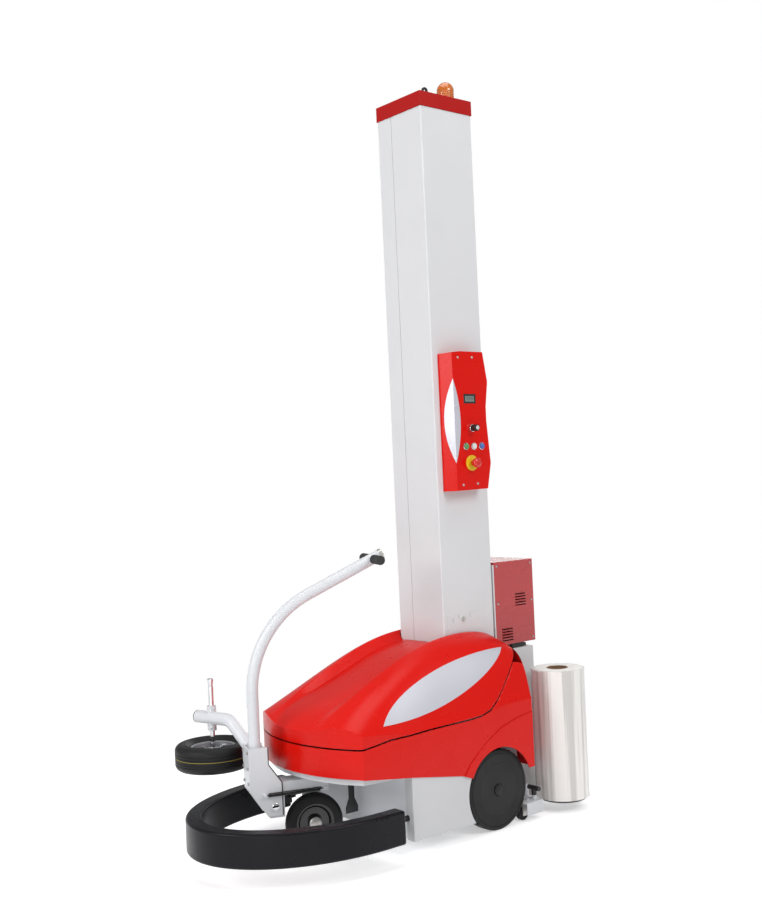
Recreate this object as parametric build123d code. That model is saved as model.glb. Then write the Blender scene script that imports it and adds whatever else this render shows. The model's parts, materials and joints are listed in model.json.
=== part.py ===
from build123d import *
from math import cos, sin, tan, radians, sqrt
import os

# Self-propelled robot stretch wrapper.  Millimetres and degrees.
# X forward (towards the bumper), Y to the machine's left, Z up.  The pieces are
# drawn with x = 0 under the mast's front face and y = 0 on the machine's
# centre line, and are moved to the middle of the footprint when written.

# ---- driving dimensions: mast ----
MAST_WIDTH = 259.0
MAST_HALF = MAST_WIDTH / 2
MAST_DEPTH = 266.0
MAST_TOP = 2755.0
MAST_WALL = 4.0
MAST_SLOT = 130.0
CAP_HEIGHT = 46.0
CAP_LAP = 12.0
CAP_WALL = 3.0
BEACON_RADIUS = 35.0
BEACON_HEIGHT = 82.0
BEACON_COLLAR = 7.0
BEACON_X = -210.0
BEACON_Y = 49.5
EYE_X = -57.0
EYE_Y = 95.5
EYE_HEIGHT = 30.0
EYE_WIDTH = 28.0
EYE_THICK = 8.0
EYE_HOLE = 6.0
PLATE_WIDTH = 175.0
PLATE_TOP = 790.0
PLATE_HEIGHT = 140.0
PLATE_THICK = 3.0

# ---- driving dimensions: chassis ----
DECK_TOP = 280.0
FLOOR_Z = 60.0
SHEET = 6.0
TUB_FRONT = 353.0
TUB_REAR = -240.0
WELL_HALF = 250.0
SKIRT_HALF = 324.0
SKIRT_SHEET = 3.0
SKIRT_BOTTOM = 56.0
BATTERY_LENGTH = 226.0
BATTERY_WIDTH = 175.0
BATTERY_HEIGHT = 190.0
TRAY_DEPTH = 26.0
TRAY_SHEET = 3.0
TRAY_INSET = 22.0
TRAY_LAP = 5.0
HATCH_EDGE = 30.0
NECK_HALF = 45.0

# ---- driving dimensions: covers ----
COVER_WALL = 4.0
COVER_REAR = -252.0
COVER_BOTTOM = 305.0
NOSE_X = 640.0
CORNER_X = 550.0
CORNER_HALF = 305.0
CORNER_ROUND = 28.0
LIP_TOP = 436.0
VALLEY_DROP = 24.0
VALLEY_HALF = 112.0
RIDGE_HALF = 145.0
MAST_GAP = 3.0
INSERT_THICK = 1.5
INSERT_GAP = 0.9
# Crown line of the two wings: x station and height.
RIDGE = ((700, 392), (640, 447), (600, 484), (540, 521), (472, 555), (400, 590), (318, 628), (230, 664),
         (142, 692), (60, 709), (-20, 716), (-100, 718), (-180, 710), (-235, 688), (-262, 660))
BOXY_FRONT = 100.0
# Line where the lifting hood meets the fixed lower cover, seen from the side.
PARTING = ((760, 405), (560, 405), (440, 424), (260, 431), (30, 436), (-40, 452),
           (-116, 512), (-200, 600), (-300, 690))
# Outline of the leaf-shaped inserts, seen from the side.
LEAF = ((452, 470), (400, 502), (340, 540), (272, 575), (190, 606), (100, 632), (20, 648), (-60, 658), (-130, 662),
        (-178, 658), (-120, 620), (-40, 566), (40, 530), (120, 506), (200, 490), (300, 478), (380, 471))

# ---- driving dimensions: wheels ----
REAR_WHEEL_RADIUS = 149.0
REAR_WHEEL_WIDTH = 50.0
REAR_WHEEL_X = -71.0
REAR_WHEEL_FACE = 313.5
REAR_RIM_RADIUS = 96.0
REAR_AXLE_RADIUS = 12.5
ARCH_GAP = 11.0
WELL_FRONT = REAR_WHEEL_X + REAR_WHEEL_RADIUS + ARCH_GAP + 5
FRONT_WHEEL_RADIUS = 105.0
FRONT_WHEEL_WIDTH = 40.0
FRONT_RIM_RADIUS = 70.0
FRONT_AXLE_RADIUS = 10.0
CASTER_RADIUS = 27.0
CASTER_WIDTH = 20.0
CASTER_X = -230.0
CASTER_Y = 284.0
CASTER_TRAIL = 12.0

# ---- driving dimensions: steering head, tiller and feeler ----
STEER_X = 550.0
STEER_ANGLE = -20.3
KINGPIN_RADIUS = 15.0
HEAD_HALF = 39.5
PIVOT_X = 150.0
PIVOT_Z = 192.0
PIVOT_RADIUS = 8.0
BRACKET_SHEET = 5.0
TILLER_RADIUS = 21.0
TILLER_WALL = 3.0
TILLER_X = 205.0
TILLER_BEND = 370.0
HANDLE_X = -262.0
HANDLE_Z = 1030.0
HANDLE_RADIUS = 11.0
GRIP_RADIUS = 17.0
GRIP_LENGTH = 72.0
ARM_RADIUS = 23.0
ARM_Z = 468.0
SPINDLE_X = 309.0
SPINDLE_Y = -239.0
SPINDLE_RADIUS = 10.0
SPINDLE_TOP = 612.0
FEELER_RADIUS = 140.0
FEELER_WIDTH = 92.0
FEELER_Z = 333.0
FEELER_RIM_RADIUS = 84.0

# ---- driving dimensions: bumper ----
BUMPER_NOSE = 1030.0
BUMPER_START = 503.0
BUMPER_REAR = 430.0
BUMPER_HALF = 372.0
BUMPER_THICK = 58.0
BUMPER_TOP = 191.0
BUMPER_HEIGHT = 116.0
GUIDE_RADIUS = 10.0
GUIDE_Y = 290.0
GUIDE_Z = 133.0

# ---- driving dimensions: film carriage and roll ----
CARRIAGE_REAR = -481.0
CARRIAGE_BOTTOM = 60.0
CARRIAGE_TOP = 619.0
CARRIAGE_SHEET = 4.0
BOX_BOTTOM = 639.0
BOX_TOP = 970.0
BOX_REAR = -498.0
BOX_WALL = 2.0
ROLLER_RADIUS = 40.0
ROLL_X = -456.0
ROLL_Y = 279.5
ROLL_RADIUS = 106.0
ROLL_HEIGHT = 500.0
ROLL_BOTTOM = 46.0
CORE_RADIUS = 41.0
CORE_WALL = 3.0
DISH_RADIUS = 112.0
DISH_THICK = 9.0
SHOE_GAP = 0.5
ROLLERS = {"slow_stretch_roller": (-336.0, 22.0), "fast_stretch_roller": (-426.0, -30.0)}

# ---- driving dimensions: lift ----
PULLEY_RADIUS = 35.0
BELT_THICK = 5.0
BELT_WIDTH = 40.0
PULLEY_X = -190.0
PULLEY_LOW_Z = 372.0
PULLEY_HIGH_Z = 2690.0

# ---- driving dimensions: control panel ----
PANEL_DEPTH = 60.0
PANEL_WALL = 3.0
PANEL_FRONT = -30.0
PANEL_WAIST = -217.0
PANEL_WIDE = -231.0
PANEL_TOP = 1796.0
PANEL_BOTTOM = 1262.0
PANEL_RIDGE = -48.0
PANEL_EDGE = 10.0
LEAF_FRONT = 15.0
LEAF_BACK = 31.0
LEAF_LOW = 1368.0
LEAF_HIGH = 1690.0
BUTTON_RADIUS = 11.0
BUTTON_PROUD = 9.0
BUTTON_Z = 1431.0
BUTTON_PITCH = 41.0
BUTTON_MIDDLE = -141.0
ESTOP_Z = 1367.0
ESTOP_X = -128.0
ESTOP_RING = 30.0
ESTOP_HEAD = 19.0
SELECTOR_Z = 1501.0
SELECTOR_X = -133.0
DISPLAY_WIDTH = 64.0
DISPLAY_HEIGHT = 37.0
DISPLAY_Z = 1614.0

# ---- clearances ----
RUN = 0.05
APART = 0.5

nodes = {}
places = {}


# ---------------- shape helpers ----------------
def block(x0, x1, y0, y1, z0, z1):
    """Box from its two opposite corners."""
    return Pos((x0 + x1) / 2, (y0 + y1) / 2, (z0 + z1) / 2) * Box(x1 - x0, y1 - y0, z1 - z0)


def rod(radius, start, end):
    """Round bar from one end point to the other."""
    start, end = Vector(*start), Vector(*end)
    return extrude(Plane(origin=start, z_dir=end - start) * Circle(radius), (end - start).length)


def side_prism(outline, y0, y1):
    """Outline drawn in the XZ plane, given thickness from y0 to y1."""
    face = make_face(Polyline(*[(x, y0, z) for x, z in outline], close=True))
    return extrude(face, amount=y1 - y0, dir=(0, 1, 0))


def plan_prism(outline, z0, z1):
    """Outline drawn in the XY plane, given thickness from z0 to z1."""
    return extrude(Pos(0, 0, z0) * make_face(Polyline(*outline, close=True)), z1 - z0, dir=(0, 0, 1))


def turned(profile, round_radius=0.0):
    """Solid of revolution about Z from (radius, height) corner points."""
    face = make_face(Polyline(*[(r, 0, z) for r, z in profile], close=True))
    if round_radius:
        outer = max(r for r, z in profile)
        corners = [v for v in face.vertices() if abs(v.X - outer) < 1e-6]
        face = fillet(corners, round_radius)
    return revolve(face, Axis.Z, 360)


def mirrored(shape):
    """The same piece on the machine's right-hand side."""
    return mirror(shape, Plane.XZ)


def across(x, y, z):
    """Location whose Z axis points to the machine's left."""
    return Plane(origin=(x, y, z), x_dir=(1, 0, 0), z_dir=(0, 1, 0)).location


def add(name, *solids):
    """Keep a node: one solid, or a group of separate solids."""
    nodes[name] = solids[0] if len(solids) == 1 else Compound(children=list(solids))


# ---------------- mast ----------------


def make_mast():
    outer = block(-MAST_DEPTH, 0, -MAST_HALF, MAST_HALF, DECK_TOP, MAST_TOP)
    inner = block(-MAST_DEPTH + MAST_WALL, -MAST_WALL, -MAST_HALF + MAST_WALL, MAST_HALF - MAST_WALL,
                  DECK_TOP, MAST_TOP)
    slot = block(-MAST_DEPTH - 1, -MAST_DEPTH + MAST_WALL + 1, -MAST_SLOT / 2, MAST_SLOT / 2,
                 DECK_TOP, MAST_TOP)
    top_shaft = rod(8, (PULLEY_X, -MAST_HALF + MAST_WALL, PULLEY_HIGH_Z),
                    (PULLEY_X, MAST_HALF - MAST_WALL, PULLEY_HIGH_Z))
    add("mast_column", outer - inner - slot, top_shaft)

    cap_low = MAST_TOP - CAP_LAP
    cap_top = MAST_TOP + CAP_HEIGHT
    cap = block(-MAST_DEPTH - CAP_WALL, CAP_WALL, -MAST_HALF - CAP_WALL, MAST_HALF + CAP_WALL, cap_low, cap_top)
    cap -= block(-MAST_DEPTH, 0, -MAST_HALF, MAST_HALF, cap_low, MAST_TOP)
    cap -= block(-MAST_DEPTH + MAST_WALL, -MAST_WALL, -MAST_HALF + MAST_WALL, MAST_HALF - MAST_WALL,
                 MAST_TOP, cap_top - CAP_WALL)
    cap += Pos(BEACON_X, BEACON_Y, cap_top + BEACON_COLLAR / 2) * Cylinder(BEACON_RADIUS - 4, BEACON_COLLAR)
    add("mast_cap", cap)

    lens_low = cap_top + BEACON_COLLAR
    straight = BEACON_HEIGHT - BEACON_RADIUS
    lens = Cylinder(BEACON_RADIUS, straight, align=(Align.CENTER, Align.CENTER, Align.MIN))
    lens += Pos(0, 0, straight) * Sphere(BEACON_RADIUS)
    core = Pos(0, 0, 4) * Cylinder(BEACON_RADIUS - 3, straight - 4, align=(Align.CENTER, Align.CENTER, Align.MIN))
    core += Pos(0, 0, straight) * Sphere(BEACON_RADIUS - 3)
    add("beacon_lens", Pos(BEACON_X, BEACON_Y, lens_low) * (lens - core))

    eye = block(EYE_X - EYE_WIDTH / 2, EYE_X + EYE_WIDTH / 2, EYE_Y - EYE_THICK / 2, EYE_Y + EYE_THICK / 2,
                cap_top, cap_top + EYE_HEIGHT)
    hole_z = cap_top + EYE_HEIGHT - EYE_WIDTH / 2
    eye -= rod(EYE_HOLE, (EYE_X, EYE_Y - EYE_THICK, hole_z), (EYE_X, EYE_Y + EYE_THICK, hole_z))
    eye = fillet(eye.edges().filter_by(Axis.Y).sort_by(Axis.Z)[-2:], EYE_WIDTH / 2 - 1)
    add("lifting_eye", eye)
    places["lifting_eye"] = (EYE_X, EYE_Y, hole_z)

    # Foot plate on the mast's left face, with its lifting slots and one screw.
    x1 = -20.0
    plate = block(x1 - PLATE_WIDTH, x1, MAST_HALF, MAST_HALF + PLATE_THICK, PLATE_TOP - PLATE_HEIGHT, PLATE_TOP)
    hole = (x1 - 24, PLATE_TOP - 23)
    screw = (x1 - 80, PLATE_TOP - 23)
    plate -= rod(8, (hole[0], MAST_HALF - 1, hole[1]), (hole[0], MAST_HALF + 9, hole[1]))
    for slot_x in (x1 - 55, x1 - 114):
        plate -= block(slot_x - 5, slot_x + 5, MAST_HALF - 1, MAST_HALF + 9, PLATE_TOP - 18, PLATE_TOP + 1)
    add("mast_foot_plate", plate)
    places["foot_plate_hole"] = (hole[0], MAST_HALF + PLATE_THICK, hole[1])
    return screw


# ---------------- lift inside the mast ----------------
def make_lift():
    half = BELT_WIDTH / 2
    for end, z in (("low", PULLEY_LOW_Z), ("high", PULLEY_HIGH_Z)):
        wheel = turned([(8 + RUN, -half - 3), (PULLEY_RADIUS + 4, -half - 3), (PULLEY_RADIUS + 4, -half - 1),
                        (PULLEY_RADIUS, -half - 1), (PULLEY_RADIUS, half + 1), (PULLEY_RADIUS + 4, half + 1),
                        (PULLEY_RADIUS + 4, half + 3), (8 + RUN, half + 3)])
        add("lift_pulley_" + end, across(PULLEY_X, 0, z) * wheel)
        places["lift_pulley_" + end] = (PULLEY_X, 0, z)

    def loop(radius):
        return (block(PULLEY_X - radius, PULLEY_X + radius, -half, half, PULLEY_LOW_Z, PULLEY_HIGH_Z)
                + rod(radius, (PULLEY_X, -half, PULLEY_LOW_Z), (PULLEY_X, half, PULLEY_LOW_Z))
                + rod(radius, (PULLEY_X, -half, PULLEY_HIGH_Z), (PULLEY_X, half, PULLEY_HIGH_Z)))

    add("lift_belt", loop(PULLEY_RADIUS + 0.3 + BELT_THICK) - loop(PULLEY_RADIUS + 0.3))

    inner_wall = MAST_HALF - MAST_WALL
    motor = rod(48, (PULLEY_X, half + 12, PULLEY_LOW_Z), (PULLEY_X, inner_wall, PULLEY_LOW_Z))
    motor += rod(8, (PULLEY_X, -half - 6, PULLEY_LOW_Z), (PULLEY_X, inner_wall - 1, PULLEY_LOW_Z))
    motor += rod(34, (PULLEY_X + 40, inner_wall - 50, PULLEY_LOW_Z), (PULLEY_X + 150, inner_wall - 50, PULLEY_LOW_Z))
    add("lift_motor", motor)


# ---------------- chassis ----------------
def make_chassis():
    floor_top = FLOOR_Z + SHEET
    full = SKIRT_HALF - SKIRT_SHEET
    floor = plan_prism([(TUB_REAR, -WELL_HALF), (WELL_FRONT, -WELL_HALF), (WELL_FRONT, -full), (TUB_FRONT, -full),
                        (TUB_FRONT, full), (WELL_FRONT, full), (WELL_FRONT, WELL_HALF), (TUB_REAR, WELL_HALF)],
                       FLOOR_Z, floor_top)
    deck = Pos(0, 0, DECK_TOP - floor_top) * floor
    deck -= block(WELL_FRONT + 16, TUB_FRONT - HATCH_EDGE, -full + HATCH_EDGE, full - HATCH_EDGE,
                  DECK_TOP - 2 * SHEET, DECK_TOP + 1)
    frame = floor + deck
    for x, half in ((TUB_REAR, WELL_HALF), (WELL_FRONT, full), (TUB_FRONT - SHEET, full)):
        frame += block(x, x + SHEET, -half, half, FLOOR_Z, DECK_TOP)
    for side in (1, -1):
        y0, y1 = sorted((side * (WELL_HALF - SHEET), side * WELL_HALF))
        frame += block(TUB_REAR, WELL_FRONT, y0, y1, FLOOR_Z, DECK_TOP)
    # Neck beam that runs forward on the deck to the steering head tube.
    neck_low = DECK_TOP + TRAY_SHEET
    frame += block(TUB_FRONT - HATCH_EDGE, STEER_X, -NECK_HALF, NECK_HALF, neck_low, neck_low + 50)
    frame += block(TUB_FRONT - HATCH_EDGE, TUB_FRONT - TRAY_LAP - 1, -NECK_HALF, NECK_HALF, DECK_TOP, neck_low)
    frame += rod(34, (STEER_X, 0, neck_low), (STEER_X, 0, neck_low + 80))
    frame -= rod(KINGPIN_RADIUS + RUN, (STEER_X, 0, neck_low - 1), (STEER_X, 0, neck_low + 90))
    # Bearing block of the free rear wheel, and the two axle holes.
    inner = WELL_HALF - SHEET
    frame += block(REAR_WHEEL_X - 45, REAR_WHEEL_X + 45, -inner, -inner + 50, FLOOR_Z, REAR_WHEEL_RADIUS + 40)
    for side in (1, -1):
        frame -= rod(REAR_AXLE_RADIUS + RUN, (REAR_WHEEL_X, side * (inner - 60), REAR_WHEEL_RADIUS),
                     (REAR_WHEEL_X, side * (WELL_HALF + 1), REAR_WHEEL_RADIUS))
        frame -= rod(GUIDE_RADIUS + RUN, (TUB_FRONT - 9, side * GUIDE_Y, GUIDE_Z),
                     (TUB_FRONT + 9, side * GUIDE_Y, GUIDE_Z))
    add("chassis_frame", frame)

    # Traction batteries standing on the floor, terminals up.
    batteries = []
    x0 = (WELL_FRONT + SHEET + TUB_FRONT - SHEET - BATTERY_LENGTH) / 2
    for side in (1, -1):
        y = side * (BATTERY_WIDTH / 2 + 62)
        case = block(x0, x0 + BATTERY_LENGTH, y - BATTERY_WIDTH / 2, y + BATTERY_WIDTH / 2,
                     floor_top, floor_top + BATTERY_HEIGHT)
        for post in (-70, 70):
            case += Pos(x0 + 30, y + post, floor_top + BATTERY_HEIGHT + 4) * Cylinder(8, 8)
        batteries.append(case)
    add("batteries", *batteries)

    # Right-angle gear motor that drives the left rear wheel.
    box = block(REAR_WHEEL_X - 55, REAR_WHEEL_X + 55, inner - 104, inner, REAR_WHEEL_RADIUS - 58,
                REAR_WHEEL_RADIUS + 58)
    motor_y = inner - 52
    box += rod(48, (REAR_WHEEL_X + 54, motor_y, REAR_WHEEL_RADIUS), (WELL_FRONT - 6, motor_y, REAR_WHEEL_RADIUS))
    box += rod(40, (REAR_WHEEL_X - 54, motor_y, REAR_WHEEL_RADIUS), (TUB_REAR + 40, motor_y, REAR_WHEEL_RADIUS))
    box += block(REAR_WHEEL_X - 40, REAR_WHEEL_X + 40, inner - 90, inner - 10, floor_top, REAR_WHEEL_RADIUS - 50)
    box -= rod(REAR_AXLE_RADIUS + RUN, (REAR_WHEEL_X, inner - 60, REAR_WHEEL_RADIUS),
               (REAR_WHEEL_X, inner + 1, REAR_WHEEL_RADIUS))
    add("drive_gearmotor", box)


def make_skirts():
    arch = REAR_WHEEL_RADIUS + ARCH_GAP
    front = block(TUB_FRONT, TUB_FRONT + SKIRT_SHEET, SKIRT_HALF - 40, SKIRT_HALF, SKIRT_BOTTOM, DECK_TOP)
    front -= rod(GUIDE_RADIUS + 2, (TUB_FRONT - 9, GUIDE_Y, GUIDE_Z), (TUB_FRONT + 9, GUIDE_Y, GUIDE_Z))
    side = block(REAR_WHEEL_X, TUB_FRONT + SKIRT_SHEET, SKIRT_HALF - SKIRT_SHEET, SKIRT_HALF,
                 SKIRT_BOTTOM, DECK_TOP)
    side -= rod(arch, (REAR_WHEEL_X, SKIRT_HALF - 20, REAR_WHEEL_RADIUS),
                (REAR_WHEEL_X, SKIRT_HALF + 20, REAR_WHEEL_RADIUS))
    side -= block(REAR_WHEEL_X - 1, REAR_WHEEL_X + 60, 0, SKIRT_HALF + 20, 0, DECK_TOP + 50)
    skirt = side + front
    add("skirt_panels", skirt, mirrored(skirt))


# ---------------- covers ----------------
def cover_outline(inset):
    """Plan outline of the covers: bowed nose, rounded corners, slightly tapered sides."""
    rear_half = SKIRT_HALF + COVER_WALL - inset
    half = CORNER_HALF - inset
    nose = NOSE_X - inset
    corner = CORNER_X - inset / 2
    rear = COVER_REAR + inset
    taper_end = TUB_FRONT + SKIRT_SHEET
    return [(rear, -rear_half), (taper_end, -rear_half), (corner, -half), (nose, 0), (corner, half),
            (taper_end, rear_half), (rear, rear_half)]


def cover_prism(inset, z0, z1):
    pts = cover_outline(inset)
    front = ThreePointArc((*pts[2], 0), (pts[3][0], 0, 0), (*pts[4], 0))
    rest = Polyline(*[(x, y, 0) for x, y in (pts[4], pts[5], pts[6], pts[0], pts[1], pts[2])])
    face = make_face([front, rest])
    corners = [v for v in face.vertices() if abs(v.X - pts[2][0]) < 1e-3]
    face = fillet(corners, CORNER_ROUND - inset)
    return extrude(Pos(0, 0, z0) * face, z1 - z0, dir=(0, 0, 1))


def cover_section(x, crown, drop):
    """Half-symmetric section of the cover's top at one station, lowered by drop."""
    back = min(max((BOXY_FRONT - x) / (BOXY_FRONT - COVER_REAR), 0), 1)
    fall = crown - LIP_TOP
    valley = crown - min(VALLEY_DROP, max(0.0, fall * 0.6))
    wide = SKIRT_HALF + 40
    half = [(VALLEY_HALF, valley), (RIDGE_HALF, crown), (RIDGE_HALF + 28, crown - 0.035 * fall),
            (230 + 22 * back, crown - (0.20 - 0.10 * back) * fall),
            (285 + 17 * back, crown - (0.60 - 0.23 * back) * fall),
            (318 + 8 * back, LIP_TOP + 2), (wide, LIP_TOP - 60), (wide, 100)]
    points = [(y, z - drop) for y, z in half]
    ring = [(-y, z) for y, z in reversed(points)] + points
    return make_face(Polyline(*[(x, y, z) for y, z in ring], close=True))


def cover_top(drop):
    return loft([cover_section(x, crown, drop) for x, crown in RIDGE], ruled=True)


def make_covers():
    body = cover_top(0) & cover_prism(0, 150, 900)
    body -= cover_top(COVER_WALL) & cover_prism(COVER_WALL, 100, 900)
    gap = MAST_HALF + MAST_GAP
    body -= block(-400, MAST_GAP, -gap, gap, 100, 900)
    above = side_prism(list(PARTING) + [(-300, 950), (760, 950)], -400, 400)
    below = side_prism(list(PARTING) + [(-300, 0), (760, 0)], -400, 400)
    add("hood", body & above)

    lower = body & below
    z = COVER_BOTTOM
    cut = side_prism([(760, z), (560, z), (350, DECK_TOP - 1), (120, DECK_TOP - 41), (60, DECK_TOP - 63),
                      (-72, DECK_TOP - 63), (-72, 206), (-300, 206), (-300, 0), (760, 0)], -400, 400)
    lower -= cut
    arch = REAR_WHEEL_RADIUS + ARCH_GAP
    lower -= rod(arch, (REAR_WHEEL_X, -400, REAR_WHEEL_RADIUS), (REAR_WHEEL_X, -WELL_HALF - 4, REAR_WHEEL_RADIUS))
    lower -= rod(arch, (REAR_WHEEL_X, WELL_HALF + 4, REAR_WHEEL_RADIUS), (REAR_WHEEL_X, 400, REAR_WHEEL_RADIUS))
    add("lower_cover", lower)

    # Leaf-shaped inserts on the wings' outer slopes, bedded on the hood's skin.
    leaf = side_prism(LEAF, 0, 400)
    skin = cover_top(-INSERT_THICK - INSERT_GAP) - cover_top(-INSERT_GAP)
    skin = skin & cover_prism(-INSERT_THICK, 440, 900)
    insert = skin & leaf
    insert = insert & block(-400, 700, 150, 322, 400, 800)
    add("hood_leaf_inserts", *[s for s in insert.solids() + mirrored(insert).solids()])

    # Front tray: a pan under the nose with an upturned rim.
    outline = cover_prism(TRAY_INSET, DECK_TOP, DECK_TOP + TRAY_DEPTH)
    pan = outline - cover_prism(TRAY_INSET + TRAY_SHEET, DECK_TOP + TRAY_SHEET, DECK_TOP + 80)
    pan = pan & block(TUB_FRONT - TRAY_LAP, 800, -400, 400, 0, 500)
    pan -= rod(38, (STEER_X, 0, DECK_TOP - 5), (STEER_X, 0, DECK_TOP + TRAY_SHEET))
    add("front_tray", pan)


# ---------------- wheels ----------------
def make_rear_wheels():
    half = REAR_WHEEL_WIDTH / 2
    centre = REAR_WHEEL_FACE - half
    tyre = turned([(REAR_RIM_RADIUS, -half), (REAR_WHEEL_RADIUS, -half), (REAR_WHEEL_RADIUS, half),
                   (REAR_RIM_RADIUS, half)], 6)
    inner_end = WELL_HALF - SHEET - 44 - centre
    rim = REAR_RIM_RADIUS - RUN
    hub = turned([(0, inner_end), (REAR_AXLE_RADIUS, inner_end), (REAR_AXLE_RADIUS, -half - 10),
                  (30, -half - 10), (30, -half + 8), (rim, -half + 8), (rim, half - 2), (22, half - 2),
                  (20, half + 3), (0, half + 3)])
    for name, side in (("left", 1), ("right", -1)):
        for piece, shape in (("rear_tyre_", tyre), ("rear_hub_", hub)):
            placed = across(REAR_WHEEL_X, centre, REAR_WHEEL_RADIUS) * shape
            add(piece + name, placed if side > 0 else mirrored(placed))
        places["rear_wheel_" + name] = (REAR_WHEEL_X, side * centre, REAR_WHEEL_RADIUS)


def make_caster():
    plate_z = 2 * CASTER_RADIUS + 12
    stem = 6.0
    x0, x1 = CASTER_X - 62, CASTER_X + 26
    bracket = block(x0, x1, WELL_HALF, CASTER_Y + 43, plate_z, plate_z + 5)
    bracket += block(x0, x1, CASTER_Y + 40, CASTER_Y + 43, plate_z - 42, plate_z + 5)
    bracket += block(x0, x1, WELL_HALF, WELL_HALF + 4, plate_z, plate_z + 50)
    bracket -= rod(stem + RUN, (CASTER_X, CASTER_Y, plate_z - 1), (CASTER_X, CASTER_Y, plate_z + 6))
    bracket += rod(9, (x0 + 18, CASTER_Y + 14, plate_z + 5), (x0 + 18, CASTER_Y + 14, plate_z + 20))
    add("rear_caster_bracket", bracket)

    knob_x, knob_y, knob_z = x0 + 18, CASTER_Y + 14, plate_z + 20 + APART
    knob = rod(10, (knob_x, knob_y, knob_z), (knob_x, knob_y, knob_z + 22))
    knob += rod(9, (knob_x, knob_y - 28, knob_z + 26), (knob_x, knob_y + 28, knob_z + 26))
    add("caster_clamp_knob", knob)
    places["caster_clamp_knob"] = (knob_x, knob_y, knob_z)

    wheel_x = CASTER_X + CASTER_TRAIL
    half = CASTER_WIDTH / 2
    fork = rod(stem, (CASTER_X, CASTER_Y, plate_z - 8), (CASTER_X, CASTER_Y, plate_z + 8))
    fork += rod(11, (CASTER_X, CASTER_Y, plate_z + 5 + APART), (CASTER_X, CASTER_Y, plate_z + 10))
    fork += block(CASTER_X - 14, wheel_x + 10, CASTER_Y - half - 5, CASTER_Y + half + 5,
                  plate_z - 8, plate_z - APART)
    for y in (CASTER_Y - half - 5, CASTER_Y + half + 1):
        fork += side_prism([(CASTER_X - 12, plate_z - 8), (wheel_x + 10, plate_z - 8),
                            (wheel_x + 9, CASTER_RADIUS - 9), (wheel_x - 9, CASTER_RADIUS - 9)], y, y + 4)
    fork += rod(4, (wheel_x, CASTER_Y - half - 5, CASTER_RADIUS), (wheel_x, CASTER_Y + half + 5, CASTER_RADIUS))
    add("caster_fork", fork)
    wheel = turned([(4 + RUN, -half), (CASTER_RADIUS, -half), (CASTER_RADIUS, half), (4 + RUN, half)], 4)
    add("caster_wheel", across(wheel_x, CASTER_Y, CASTER_RADIUS) * wheel)
    places["caster_stem"] = (CASTER_X, CASTER_Y, plate_z)
    places["caster_wheel"] = (wheel_x, CASTER_Y, CASTER_RADIUS)


# ---------------- steering head, tiller and feeler ----------------
HEAD = Pos(STEER_X, 0, 0) * Rot(0, 0, STEER_ANGLE)


def head_point(x, y, z):
    """A point of the steered head in the machine's frame."""
    c, s = cos(radians(STEER_ANGLE)), sin(radians(STEER_ANGLE))
    return (STEER_X + c * x - s * y, s * x + c * y, z)


def make_steering_head():
    block_top = DECK_TOP - 8
    wheel_top = 2 * FRONT_WHEEL_RADIUS
    front = FRONT_WHEEL_RADIUS + 9
    head = block(-48, PIVOT_X + 18, -HEAD_HALF, HEAD_HALF, wheel_top + 14, block_top)
    head += block(front, PIVOT_X + 18, -HEAD_HALF, HEAD_HALF, PIVOT_Z - 42, block_top)
    head += rod(KINGPIN_RADIUS, (0, 0, block_top - 5), (0, 0, DECK_TOP + 86))
    head += rod(24, (0, 0, block_top - 1), (0, 0, DECK_TOP + TRAY_SHEET - APART))
    half = FRONT_WHEEL_WIDTH / 2
    leg_in = half + 6
    head += side_prism([(-34, wheel_top + 16), (34, wheel_top + 16), (24, FRONT_WHEEL_RADIUS - 22),
                        (-24, FRONT_WHEEL_RADIUS - 22)], -leg_in - 8, -leg_in)
    head += rod(FRONT_AXLE_RADIUS, (0, -leg_in - 1, FRONT_WHEEL_RADIUS), (0, half + 6, FRONT_WHEEL_RADIUS))
    pin_end = HEAD_HALF + 0.5 + BRACKET_SHEET + APART
    head += rod(PIVOT_RADIUS, (PIVOT_X, -pin_end - 8, PIVOT_Z), (PIVOT_X, pin_end + 8, PIVOT_Z))
    for side in (1, -1):
        head += rod(13, (PIVOT_X, side * pin_end, PIVOT_Z), (PIVOT_X, side * (pin_end + 8), PIVOT_Z))
    # Lug that holds the rear hook of the tiller's return spring.
    head += rod(5, (-30, HEAD_HALF - 1, 236), (-30, HEAD_HALF + 22, 236))
    add("steering_head", HEAD * head)
    places["steer"] = (STEER_X, 0, DECK_TOP)
    places["front_wheel"] = (STEER_X, 0, FRONT_WHEEL_RADIUS)
    places["tiller_pivot"] = head_point(PIVOT_X, 0, PIVOT_Z)
    places["head_left"] = tuple(a - b for a, b in zip(head_point(0, 1, 0), head_point(0, 0, 0)))

    tyre = turned([(FRONT_RIM_RADIUS, -half), (FRONT_WHEEL_RADIUS, -half), (FRONT_WHEEL_RADIUS, half),
                   (FRONT_RIM_RADIUS, half)], 12)
    rim = FRONT_RIM_RADIUS - RUN
    bore = FRONT_AXLE_RADIUS + RUN
    hub = turned([(bore, -half - 4), (24, -half - 4), (24, -5), (rim - 10, -5), (rim - 10, -half + 2),
                  (rim, -half + 2), (rim, half - 2), (rim - 10, half - 2), (rim - 16, 6), (26, 6), (24, half + 2),
                  (bore, half + 2)])
    add("front_tyre", HEAD * across(0, 0, FRONT_WHEEL_RADIUS) * tyre)
    add("front_hub", HEAD * across(0, 0, FRONT_WHEEL_RADIUS) * hub)

    # Return spring, hooked between the tiller's bracket and the lug.
    y = HEAD_HALF + 16
    spring = rod(9, (-14, y, 236), (PIVOT_X + 24, y, 236))
    spring += rod(2.5, (-25, y, 236), (-13, y, 236))
    spring += rod(2.5, (PIVOT_X + 23, y, 236), (PIVOT_X + 30, y, 236))
    add("tiller_spring", HEAD * spring)


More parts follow.
